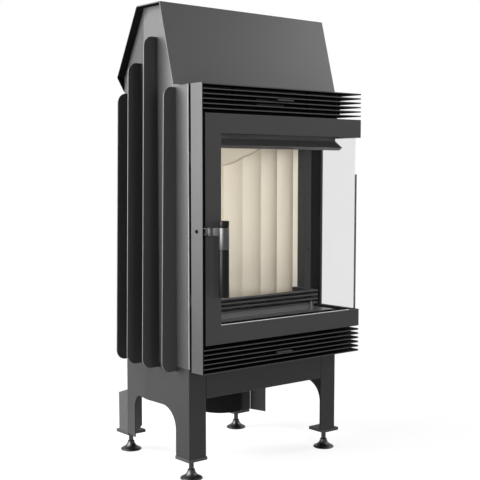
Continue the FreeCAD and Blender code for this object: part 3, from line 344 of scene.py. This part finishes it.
def mineralBoard(name):
    finish, shader, place = startFinish(name, {"Specular IOR Level": boardLook["sheen"]})
    speck = place.noise(boardLook["speck"], 3.0)
    cloud = place.noise(boardLook["cloud"], 4.0)
    tone = speck * boardLook["speckShare"] + cloud * boardLook["cloudShare"]
    tone.blend(boardLook["shade"], boardLook["cream"]).feeds(shader, "Base Color")
    (boardLook["roughness"] + (speck - 0.5) * boardLook["roughSpread"]).feeds(shader, "Roughness")
    speck.bump(boardLook["bump"], boardLook["bumpHeight"]).feeds(shader, "Normal")
    return finish


# bare and plated metals

steelLook = {"streak": 220.0, "cloud": 30.0, "streakShare": 0.7, "cloudShare": 0.3, "dull": 0.86,
             "bright": 1.10, "roughSpread": 0.16, "bump": 0.05, "bumpHeight": 0.0002}


def brushedSteel(name, tone, roughness, along, metallic=1.0):
    finish, shader, place = startFinish(name, {"Metallic": metallic})
    streak = place.noise(steelLook["streak"], 4.0, along)
    cloud = place.noise(steelLook["cloud"], 3.0)
    low = [level * steelLook["dull"] for level in tone]
    high = [min(1, level * steelLook["bright"]) for level in tone]
    mixed = streak * steelLook["streakShare"] + cloud * steelLook["cloudShare"]
    mixed.blend(low, high).feeds(shader, "Base Color")
    (roughness + (streak - 0.5) * steelLook["roughSpread"]).feeds(shader, "Roughness")
    streak.bump(steelLook["bump"], steelLook["bumpHeight"]).feeds(shader, "Normal")
    return finish


handleSteel = brushedSteel("handle_steel", (0.066, 0.066, 0.066), 0.46, (1, 1, 0.04))
armSteel = brushedSteel("arm_steel", (0.042, 0.042, 0.042), 0.46, (1, 1, 0.04), 0.60)
zincPlate = brushedSteel("zinc_plate", (0.42, 0.43, 0.44), 0.42, (0.3, 0.3, 1))
footSteel = brushedSteel("foot_steel", (0.045, 0.045, 0.046), 0.38, (0.3, 0.3, 1))


ironLook = {"sand": 650.0, "rust": 14.0, "sandShare": 0.4, "rustShare": 0.6, "dark": (0.022, 0.021, 0.020),
            "light": (0.060, 0.056, 0.052), "roughness": 0.62, "roughSpread": 0.25, "bump": 0.45,
            "bumpHeight": 0.0008, "sheen": 0.4}


def castIron(name):
    finish, shader, place = startFinish(name, {"Specular IOR Level": ironLook["sheen"]})
    sand = place.noise(ironLook["sand"], 4.0)
    rust = place.noise(ironLook["rust"], 5.0)
    mixed = sand * ironLook["sandShare"] + rust * ironLook["rustShare"]
    mixed.blend(ironLook["dark"], ironLook["light"]).feeds(shader, "Base Color")
    (ironLook["roughness"] + (sand - 0.5) * ironLook["roughSpread"]).feeds(shader, "Roughness")
    sand.bump(ironLook["bump"], ironLook["bumpHeight"]).feeds(shader, "Normal")
    return finish


# hard plastic of the grip, rope of the seal and tape under the pane

gripLook = {"grain": 700.0, "cloud": 25.0, "dark": (0.0015, 0.0015, 0.0015), "light": (0.003, 0.003, 0.003),
            "roughness": 0.34, "roughSpread": 0.16, "bump": 0.10, "bumpHeight": 0.0003, "sheen": 0.10}
ropeLook = {"lay": 130.0, "fluff": 900.0, "layShare": 0.6, "fluffShare": 0.4, "dark": (0.045, 0.045, 0.045),
            "light": (0.16, 0.16, 0.155), "fluffHeight": 0.5, "bump": 0.7, "bumpHeight": 0.0012}
weaveLook = {"weave": 260.0, "dark": (0.46, 0.46, 0.45), "light": (0.60, 0.60, 0.58), "bump": 0.4,
             "bumpHeight": 0.0004}


def blackGrip(name):
    finish, shader, place = startFinish(name, {"Specular IOR Level": gripLook["sheen"]})
    grain = place.noise(gripLook["grain"], 3.0)
    cloud = place.noise(gripLook["cloud"], 2.0)
    (grain * 0.5 + cloud * 0.5).blend(gripLook["dark"], gripLook["light"]).feeds(shader, "Base Color")
    (gripLook["roughness"] + (grain - 0.5) * gripLook["roughSpread"]).feeds(shader, "Roughness")
    grain.bump(gripLook["bump"], gripLook["bumpHeight"]).feeds(shader, "Normal")
    return finish


def ropeSeal(name):
    finish, shader, place = startFinish(name, {"Specular IOR Level": 0.2, "Roughness": 0.9})
    lay = place.make("ShaderNodeTexWave", {"wave_type": "BANDS", "bands_direction": "DIAGONAL"},
                     {"Vector": place, "Scale": ropeLook["lay"], "Distortion": 2.0, "Detail": 2.0}, "Fac")
    fluff = place.noise(ropeLook["fluff"], 3.0)
    mixed = lay * ropeLook["layShare"] + fluff * ropeLook["fluffShare"]
    mixed.blend(ropeLook["dark"], ropeLook["light"]).feeds(shader, "Base Color")
    strands = lay + fluff * ropeLook["fluffHeight"]
    strands.bump(ropeLook["bump"], ropeLook["bumpHeight"]).feeds(shader, "Normal")
    return finish


def fibreTape(name):
    finish, shader, place = startFinish(name, {"Specular IOR Level": 0.2, "Roughness": 0.8})
    weave = place.make("ShaderNodeTexWave", {"wave_type": "BANDS", "bands_direction": "X"},
                       {"Vector": place, "Scale": weaveLook["weave"], "Distortion": 1.0}, "Fac")
    weave.blend(weaveLook["dark"], weaveLook["light"]).feeds(shader, "Base Color")
    weave.bump(weaveLook["bump"], weaveLook["bumpHeight"]).feeds(shader, "Normal")
    return finish


linerBoard = mineralBoard("mineral_board")
grateIron = castIron("cast_grate")
gripBlack = blackGrip("grip_black")
sealRope = ropeSeal("seal_rope")
print("finishes ready")


# casing, hood, fins and frame: the CAD sheets with broken edges

sheetEdges = {"sheet": 0.0007, "hood": 0.0009, "fin": 0.0009, "slat": 0.0004, "rail": 0.0013,
              "grate": 0.0016}
hoodLook = {"undersideTurn": -0.2, "backLip": 0.15}
finLook = {"frontReach": 0.88, "edgeTurn": 0.5}
grilleLook = {"plateReturn": 0.0015, "litDepth": 0.012, "sideAcross": 0.280}

for node in ("right_side_wall", "rear_wall"):
    softCopy(node, casingPaint, sheetEdges["sheet"])
leftWall = softCopy("left_side_wall", casingPaint, sheetEdges["sheet"])
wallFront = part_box("left_side_wall")[0].y
# the left wall's front edge is painted light: a painted highlight
coverFaces(leftWall, edgeHighlightPaint, lambda middle, normal: middle.y < wallFront + sheetEdges["sheet"])
softCopy("left_leg_panel", legPaint, sheetEdges["sheet"])
rightLeg = softCopy("right_leg_panel", legPaint, sheetEdges["sheet"])
# the right leg panel's inner faces are painted darker: painted shade under the casing
coverFaces(rightLeg, paintedShadePaint, lambda middle, normal: normal.x < -facing)
# the left rear leg is painted lighter than the other legs: painted light from the left
softCopy("left_rear_leg", litRearLegPaint, sheetEdges["sheet"])
# the right rear leg is painted dark all over: painted shade
softCopy("right_rear_leg", paintedShadePaint, sheetEdges["sheet"])

# the joints at the rail's ends stay dark
crossRail = softCopy("front_cross_rail", legPaint, sheetEdges["rail"])
railLow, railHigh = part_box("front_cross_rail")
coverFaces(crossRail, shadeAndJointBlack, lambda middle, normal: middle.x < railLow.x + sheetEdges["rail"]
           or middle.x > railHigh.x - sheetEdges["rail"])

# these inner sheets sit behind the grilles and under the hood and are made black all over: painted shade
for node in ("face_plate", "top_plate", "bottom_plate", "frame_spacers", "air_intake_collar"):
    softCopy(node, shadeAndJointBlack, sheetEdges["sheet"])
softCopy("hinge_brackets", innerPaint, sheetEdges["slat"])
# the floor plate is painted light grey: painted light and reflection on the hearth ledge
softCopy("floor_plate", litLedgePaint, sheetEdges["slat"])
softCopy("air_wash_deflector", guardPaint, sheetEdges["slat"])
post = softCopy("side_post", innerPaint, sheetEdges["slat"])
# the post's left-facing return is painted lighter than its front: painted light from the left
coverFaces(post, guardPaint, lambda middle, normal: normal.x < -facing)
softCopy("flue_collar", hoodPaint, sheetEdges["hood"])
hood = softCopy("hood_wrap", hoodPaint, sheetEdges["hood"])
# the hood's underside and the inner face of its rear lip are painted black: painted shade
coverFaces(hood, shadeAndJointBlack, lambda middle, normal: normal.z < hoodLook["undersideTurn"]
           or (middle.y > hoodLook["backLip"] and normal.y < -facing))
for side, numbers in (("left", (1, 2, 3, 4)), ("right", (3, 4))):
    for number in numbers:
        fin = softCopy(f"{side}_fin_{number}", finPaint, sheetEdges["fin"])
        # the fins' edge faces are painted lighter: painted highlight
        coverFaces(fin, finEdgeHighlight, lambda middle, normal: abs(normal.y) < finLook["edgeTurn"])

# the front fin stands out a little less than the others
editAll(bpy.data.objects["left_fin_1_finished"])
bpy.ops.transform.resize(value=(finLook["frontReach"], 1, 1),
                         center_override=(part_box("left_side_wall")[0].x, 0, 0))
bpy.ops.object.mode_set(mode="OBJECT")

framePlate = softCopy("frame_side_plate", framePaint, sheetEdges["slat"])
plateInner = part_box("left_side_wall")[0].x + grilleLook["plateReturn"]
# the plate's faces inside its outer skin, toward the door gap, are painted black: painted shade
coverFaces(framePlate, shadeAndJointBlack, lambda middle, normal: middle.x > plateInner)
for node in ("upper_air_lever", "lower_air_lever"):
    softCopy(node, framePaint, sheetEdges["slat"])
for node in ("upper_grille", "lower_grille"):
    slats = softCopy(node, framePaint, sheetEdges["slat"])
    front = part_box(node)[0].y
    # slat tops and undersides, and faces deeper than litDepth on the near side, are painted black: painted
    # shade between the slats
    coverFaces(slats, shadeAndJointBlack, lambda middle, normal: abs(normal.z) > facing
               or (middle.y > front + grilleLook["litDepth"] and middle.x < grilleLook["sideAcross"]))
corners = ("front_left", "front_right", "rear_left", "rear_right")
for corner in corners:
    softCopy(f"{corner}_foot_plate", platePaint, sheetEdges["sheet"])
print("casing finished")


# lining, guard, grate and pan

# the side boards turn towards the rear at each ridge between two flutes and stop short of the baffle
liningLook = {"ridges": ((0.2104, -0.0165), (0.1965, 0.0354), (0.1775, 0.0823), (0.1462, 0.1270),
                         (0.1039, 0.1625)), "rearEdge": (0.0916, 0.1505),
              "fluteDepth": 0.0090, "fluteSteps": 12, "rearFlutes": 3, "joint": 0.0015, "clearance": 0.0004,
              "edge": 0.0008, "baffleLow": 0.7892, "baffleSlope": 0.64, "baffleSheet": 0.025,
              "baffleGap": 0.003, "trimRoom": 0.05, "wallTurn": 13, "leftThickness": 0.030, "darkEdgeTurn": 0.3}

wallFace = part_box("right_lining")[1].x - liningLook["clearance"]
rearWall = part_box("rear_lining")[1]
rearFace = rearWall.y - liningLook["clearance"]
rearCorner = rearWall.x - liningLook["clearance"]
wallFold = rearWall.y - (wallFace - rearCorner) / math.tan(math.radians(liningLook["wallTurn"]))
middlePlane = (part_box("rear_lining")[0].x + rearWall.x) / 2
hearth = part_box("rear_lining")[0].z
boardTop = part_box("left_lining")[1].z


def flutedRun(start, end, count=1):
    # points of a row of hollows from start to end, sunk to the right-hand side of the run
    along = (Vector(end) - Vector(start)) / count
    forward = along.normalized()
    sunkWay = Vector((forward.y, -forward.x))
    depth = liningLook["fluteDepth"]
    radius = (along.length ** 2 / 4 + depth ** 2) / (2 * depth)
    half = math.asin(along.length / 2 / radius)
    points = []
    for number in range(count):
        middle = Vector(start) + along * (number + 0.5)
        for step in range(liningLook["fluteSteps"]):
            turn = half * (2 * step / liningLook["fluteSteps"] - 1)
            sunk = radius * (math.cos(turn) - math.cos(half))
            points.append(middle + forward * radius * math.sin(turn) + sunkWay * sunk)
    return points


def standingBoard(name, outline, low, high):
    # an outline seen from above is filled and raised
    piece = drawnLine(name, [Vector((point[0], point[1], low)) for point in outline])
    bpy.ops.mesh.edge_face_add()
    bpy.ops.mesh.extrude_region_move(TRANSFORM_OT_translate={"value": (0, 0, high - low)})
    bpy.ops.mesh.select_all(action="SELECT")
    bpy.ops.mesh.normals_make_consistent(inside=False)
    return piece


def trimByBaffle(drop, above):
    # cuts the piece being edited along a plane under the baffle
    slope = liningLook["baffleSlope"]
    bpy.ops.mesh.select_all(action="SELECT")
    bpy.ops.mesh.bisect(plane_co=(0, liningLook["ridges"][-1][1], liningLook["baffleLow"] - drop),
                        plane_no=Vector((0, slope, 1)).normalized(), use_fill=True,
                        clear_outer=above, clear_inner=not above)


def finishBoard(piece, node):
    # the cut edge under the baffle is painted black
    bpy.ops.object.mode_set(mode="OBJECT")
    softenEdges(piece, liningLook["edge"], 2, 16)
    settle(piece, bodyOf[node], slotOf[node], linerBoard, node)
    coverFaces(piece, shadeAndJointBlack, lambda middle, normal: normal.z > liningLook["darkEdgeTurn"])


ridges = liningLook["ridges"]
front, rear = ridges[0], ridges[-1]
sideRun = []
for before, after in zip(ridges, ridges[1:]):
    sideRun += flutedRun(before, after)
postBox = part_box("side_post")
clear = liningLook["clearance"]
rightOutline = sideRun + [
    rear, (rear[0], rearFace), (rearCorner, rearFace), (wallFace, wallFold), (wallFace, postBox[1].y + clear),
    (postBox[0].x - clear, postBox[1].y + clear), (postBox[0].x - clear, front[1])]
board = standingBoard("right_lining_fluted", rightOutline, hearth, boardTop)
trimByBaffle(liningLook["joint"], True)
finishBoard(board, "right_lining")

# the left boards mirror the right ones and run on to the face plate
leftFace = 2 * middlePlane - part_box("left_lining")[0].x - liningLook["leftThickness"]
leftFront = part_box("left_lining")[0].y
leftFold = (leftFace, (leftFront + front[1]) / 2)
leftOutline = flutedRun((leftFace, leftFront), leftFold) + flutedRun(leftFold, front) + sideRun
leftOutline += [rear, (rear[0], rearFace), (rearCorner, rearFace), (wallFace, wallFold),
                (wallFace, leftFront)]
mirroredLeft = [(2 * middlePlane - point[0], point[1]) for point in leftOutline]
board = standingBoard("left_lining_fluted", mirroredLeft, hearth, boardTop)
trimByBaffle(liningLook["joint"], True)
finishBoard(board, "left_lining")

rearStart = liningLook["rearEdge"]
rearEnd = (2 * middlePlane - rearStart[0], rearStart[1])
rearBack = rear[0] - liningLook["joint"]
rearOutline = flutedRun(rearStart, rearEnd, liningLook["rearFlutes"])
rearOutline += [rearEnd, (2 * middlePlane - rearBack, rearFace), (rearBack, rearFace)]
board = standingBoard("rear_lining_fluted", rearOutline, hearth, boardTop)
trimByBaffle(liningLook["joint"], True)
finishBoard(board, "rear_lining")

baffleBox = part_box("baffle_board")
baffleFront = baffleBox[1].x - clear - liningLook["baffleGap"]
baffleRear = rearCorner - liningLook["baffleGap"]
baffleOutline = [(baffleRear, rearFace), (baffleFront, baffleBox[0].y),
                 (2 * middlePlane - baffleFront, baffleBox[0].y), (2 * middlePlane - baffleRear, rearFace)]
board = standingBoard("baffle_board_sloped", baffleOutline, baffleBox[0].z - liningLook["trimRoom"],
                      baffleBox[1].z + liningLook["trimRoom"])
slant = math.hypot(1, liningLook["baffleSlope"])
trimByBaffle(0.0, False)
trimByBaffle(-liningLook["baffleSheet"] * slant, True)
finishBoard(board, "baffle_board")

guardLook = {"slatDepth": 0.008, "footHeight": 0.012, "studRadius": 0.0018, "studHeight": 0.025,
             "studAcross": 0.188, "studChamfer": 0.0006, "studSteps": 20}

guard = softCopy("log_guard", guardPaint, sheetEdges["sheet"])
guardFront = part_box("log_guard")[0].y
guardBack = guardFront + guardLook["slatDepth"]
guardFoot = hearth + guardLook["footHeight"]
# the guard's undersides and the faces behind its slats are painted black: painted shade; the lowest of those
# faces take the ledge's painted light instead
coverFaces(guard, shadeAndJointBlack, lambda middle, normal: normal.z < -facing
           or (normal.y < -facing and middle.y > guardBack))
coverFaces(guard, litLedgePaint, lambda middle, normal: normal.y < -facing and middle.y > guardBack
           and middle.z < guardFoot)

# stud that stands on the floor plate and holds the guard back
studReach = guardLook["studRadius"]
studTip = guardLook["studHeight"]
studChamfer = guardLook["studChamfer"]
studProfile = [(0, 0), (studReach, 0), (studReach, studTip - studChamfer), (studReach - studChamfer, studTip),
               (0, studTip)]
stud = turnedPiece("log_guard_stud", studProfile, guardLook["studSteps"])
stud.location = (guardLook["studAcross"], guardFront - studReach - clear, hearth)
settle(stud, bodyOf["log_guard"], slotOf["keeper_screw"], zincPlate)

softCopy("grate", grateIron, sheetEdges["grate"])
softCopy("ash_pan", zincPlate, sheetEdges["slat"])
softCopy("latch_keeper", zincPlate, sheetEdges["slat"])

# two screws that hold the post, with a socket in each head
screwLook = {"radius": 0.0042, "head": 0.0024, "socket": 0.0022, "socketDepth": 0.0013, "across": 0.2466,
             "heights": (0.7096, 0.5524), "sides": 28, "edge": 0.0004, "gap": 0.0001}

freshStart()
bpy.ops.mesh.primitive_cylinder_add(vertices=screwLook["sides"], radius=screwLook["radius"],
                                    depth=screwLook["head"], rotation=(math.pi / 2, 0, 0))
screwHead = bpy.context.object
bpy.ops.object.transform_apply(location=True, rotation=True, scale=True)
selectFaces(screwHead, lambda middle, normal: normal.y < -facing)
bpy.ops.mesh.inset(thickness=screwLook["socket"])
bpy.ops.mesh.extrude_region_move(TRANSFORM_OT_translate={"value": (0, screwLook["socketDepth"], 0)})
bpy.ops.object.mode_set(mode="OBJECT")
softenEdges(screwHead, screwLook["edge"], 2, 32)
screwFace = postBox[0].y - screwLook["head"] / 2 - screwLook["gap"]
for name, height in zip(("upper_post_screw", "lower_post_screw"), screwLook["heights"]):
    screw = copyTo(screwHead, name, (screwLook["across"], screwFace, height))
    settle(screw, bodyOf["side_post"], slotOf["side_post"], innerPaint)
putAway(screwHead)
print("fire chamber finished")


# door, panes and rope seal

doorEdges = {"sheet": 0.0008, "retainer": 0.0004, "pane": 0.0004, "rope": 0.0045, "leftFace": 0.001}

door = softCopy("door_frame", doorPaint, doorEdges["sheet"])
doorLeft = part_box("door_frame")[0].x
# the door's left edge face, in the gap beside the frame plate, is painted black: painted shade
coverFaces(door, shadeAndJointBlack, lambda middle, normal: normal.x < -facing
           and middle.x < doorLeft + doorEdges["leftFace"])
for node in ("upper_glass_retainer", "lower_glass_retainer", "door_hinge_leaves"):
    softCopy(node, doorPaint, doorEdges["retainer"])
for node in ("front_glass", "side_glass"):
    softCopy(node, paneGlass(node, *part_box(node)), doorEdges["pane"], 1)

# pale fibre tape that beds the front pane; its edge shows along the window's lower lip
tapeLook = {"start": -0.190, "end": 0.262, "front": -0.1868, "back": -0.1848, "low": 0.3925, "high": 0.3953,
            "edge": 0.0007}

freshStart()
bpy.ops.mesh.primitive_cube_add(size=1)
tape = bpy.context.object
tape.name = "front_pane_tape"
tape.scale = (tapeLook["end"] - tapeLook["start"], tapeLook["back"] - tapeLook["front"],
              tapeLook["high"] - tapeLook["low"])
tape.location = ((tapeLook["start"] + tapeLook["end"]) / 2, (tapeLook["front"] + tapeLook["back"]) / 2,
                 (tapeLook["low"] + tapeLook["high"]) / 2)
bpy.ops.object.transform_apply(location=True, rotation=True, scale=True)
softenEdges(tape, tapeLook["edge"], 3, 32)
settle(tape, "door", "seal", fibreTape("fibre_tape"))

softCopy("door_seal", sealRope, doorEdges["rope"], 4, 40)
print("door finished")


# handle

handleLook = {"edge": 0.0003, "capEdge": 0.0018}

for node in ("handle_bracket", "handle_arm"):
    softCopy(node, armSteel, handleLook["edge"], 2, 32)
softCopy("handle_sleeve", handleSteel, handleLook["edge"], 2, 32)
for node in ("handle_grip", "handle_cap"):
    softCopy(node, gripBlack, handleLook["capEdge"], 3, 32)

# screw of the latch keeper, with a socket sunk into its head
keeperLook = {"edge": 0.0008, "faceDepth": 0.0002, "socket": 0.0021, "socketDepth": 0.0016}

# the keeper screw takes the black used for painted shade, so the whole head reads as the dark of its socket
screw = softCopy("keeper_screw", shadeAndJointBlack, keeperLook["edge"], 2, 32)
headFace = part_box("keeper_screw")[0].x + keeperLook["faceDepth"]
selectFaces(screw, lambda middle, normal: normal.x < -facing and middle.x < headFace)
bpy.ops.mesh.inset(thickness=keeperLook["socket"])
bpy.ops.mesh.extrude_region_move(TRANSFORM_OT_translate={"value": (keeperLook["socketDepth"], 0, 0)})
bpy.ops.object.mode_set(mode="OBJECT")
print("handle finished")


# levelling feet: one spun bell, copied to the four corners

footLook = {"rim": 0.0285, "stem": 0.0063, "chamfer": 0.001, "steps": 56}

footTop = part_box("front_left_levelling_foot")[1].z
rim, stem = footLook["rim"], footLook["stem"]
bellProfile = [(0, 0.0), (rim - 0.0015, 0.0), (rim, 0.0012), (rim, 0.0030), (rim - 0.0016, 0.0048),
               (0.0222, 0.0072), (0.0172, 0.0100), (0.0136, 0.0134), (0.0112, 0.0172), (0.0098, 0.0210),
               (0.0094, 0.0240), (0.0082, 0.0254), (stem, 0.0262), (stem, footTop - footLook["chamfer"]),
               (stem - footLook["chamfer"], footTop), (0, footTop)]
bell = turnedPiece("foot_bell", bellProfile, footLook["steps"])
for corner in corners:
    node = f"{corner}_levelling_foot"
    low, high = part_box(node)
    middle = (low + high) / 2
    foot = copyTo(bell, f"{node}_bell", (middle.x, middle.y, 0))
    settle(foot, bodyOf[node], slotOf[node], footSteel, node)
putAway(bell)
print("feet finished")


# floor, light and camera

studio = {"ambient": 0.22, "floorGlow": 0.80, "shadowReach": (0.35, 1.1), "leftPanel": 320.0,
          "frontFill": 40.0, "rightPanel": 72.0, "hearthLight": 63.0}


def whiteWhereSeen(tree):
    # 1 for what the eye, a reflection or the glass sees, 0 for the light on the object
    path = tree.nodes.new("ShaderNodeLightPath")
    seen = Shade(tree, path.outputs["Is Camera Ray"])
    for kind in ("Is Glossy Ray", "Is Transmission Ray"):
        seen = seen + Shade(tree, path.outputs[kind])
    return seen


world = bpy.data.worlds.new("studio_white")
bpy.context.scene.world = world
world.use_nodes = True
sky = world.node_tree.nodes["Background"]
sky.inputs["Color"].default_value = (1, 1, 1, 1)
seen = whiteWhereSeen(world.node_tree)
level = seen.make("ShaderNodeMath", {"operation": "MINIMUM"}, {0: seen, 1: 1.0}) * (1 - studio["ambient"])
world.node_tree.links.new((level + studio["ambient"]).socket, sky.inputs["Strength"])

freshStart()
bpy.ops.mesh.primitive_plane_add(size=40)
floor = bpy.context.object
floor.name = "studio_floor"
floorFinish = bpy.data.materials.new("studio_floor_white")
floorFinish.use_nodes = True
tree = floorFinish.node_tree
matte = tree.nodes["Principled BSDF"]
matte.inputs["Base Color"].default_value = (0.92, 0.92, 0.92, 1)
matte.inputs["Roughness"].default_value = 0.9
glow = tree.nodes.new("ShaderNodeEmission")
glow.inputs["Strength"].default_value = 1.0
seen = whiteWhereSeen(tree)
spot = tree.nodes.new("ShaderNodeTexCoord")
away = seen.make("ShaderNodeVectorMath", {"operation": "LENGTH"}, {0: Shade(tree, spot.outputs["Object"])},
                 "Value")
fade = seen.make("ShaderNodeMapRange", {"interpolation_type": "SMOOTHSTEP"},
                 {"Value": away, "From Min": studio["shadowReach"][0], "From Max": studio["shadowReach"][1],
                  "To Min": studio["floorGlow"], "To Max": 1.0}, "Result")
share = seen.make("ShaderNodeMath", {"operation": "MINIMUM"}, {0: seen, 1: 1.0}) * fade
mixed = seen.make("ShaderNodeMixShader", {}, {0: share, 1: Shade(tree, matte.outputs[0]),
                                              2: Shade(tree, glow.outputs[0])})
tree.links.new(mixed.socket, tree.nodes["Material Output"].inputs["Surface"])
floor.data.materials.append(floorFinish)


def softPanel(name, place, aim, size, power, mirrored=True):
    lamp = bpy.data.lights.new(name, "AREA")
    lamp.shape = "RECTANGLE"
    lamp.size, lamp.size_y = size
    lamp.energy = power
    panel = bpy.data.objects.new(name, lamp)
    panel.location = place
    panel.rotation_euler = (Vector(aim) - Vector(place)).to_track_quat("-Z", "Y").to_euler()
    panel.visible_camera = False
    panel.visible_glossy = mirrored    # fill light that leaves no streak on the paint
    bpy.context.scene.collection.objects.link(panel)


softPanel("left_panel", (-2.2, 0.75, 1.35), (-0.25, 0.0, 0.75), (2.8, 2.2), studio["leftPanel"])
softPanel("front_fill", (-1.1, -3.2, 1.35), (0.0, 0.0, 0.6), (2.2, 1.6), studio["frontFill"], False)
softPanel("right_panel", (3.07, -1.62, 2.48), (0.1, -0.1, 1.05), (1.1, 1.1), studio["rightPanel"])
softPanel("hearth_light", (-1.0, -3.2, 0.9), (0.1, 0.1, 0.62), (0.8, 0.8), studio["hearthLight"], False)

photoView = {"place": (-1.7244, -2.0887, 0.7638), "tilt": 84.655, "turn": -39.633, "lens": 75.65,
             "shift": (0.0146, 0.0583)}
eye = bpy.data.cameras.new("photo_view")
eye.sensor_width = 36
eye.lens = photoView["lens"]
eye.shift_x, eye.shift_y = photoView["shift"]
camera = bpy.data.objects.new("photo_view", eye)
camera.location = photoView["place"]
camera.rotation_euler = (math.radians(photoView["tilt"]), 0, math.radians(photoView["turn"]))
bpy.context.scene.collection.objects.link(camera)
bpy.context.scene.camera = camera
bpy.context.scene.view_settings.view_transform = "Standard"
print("studio ready")

freshStart()
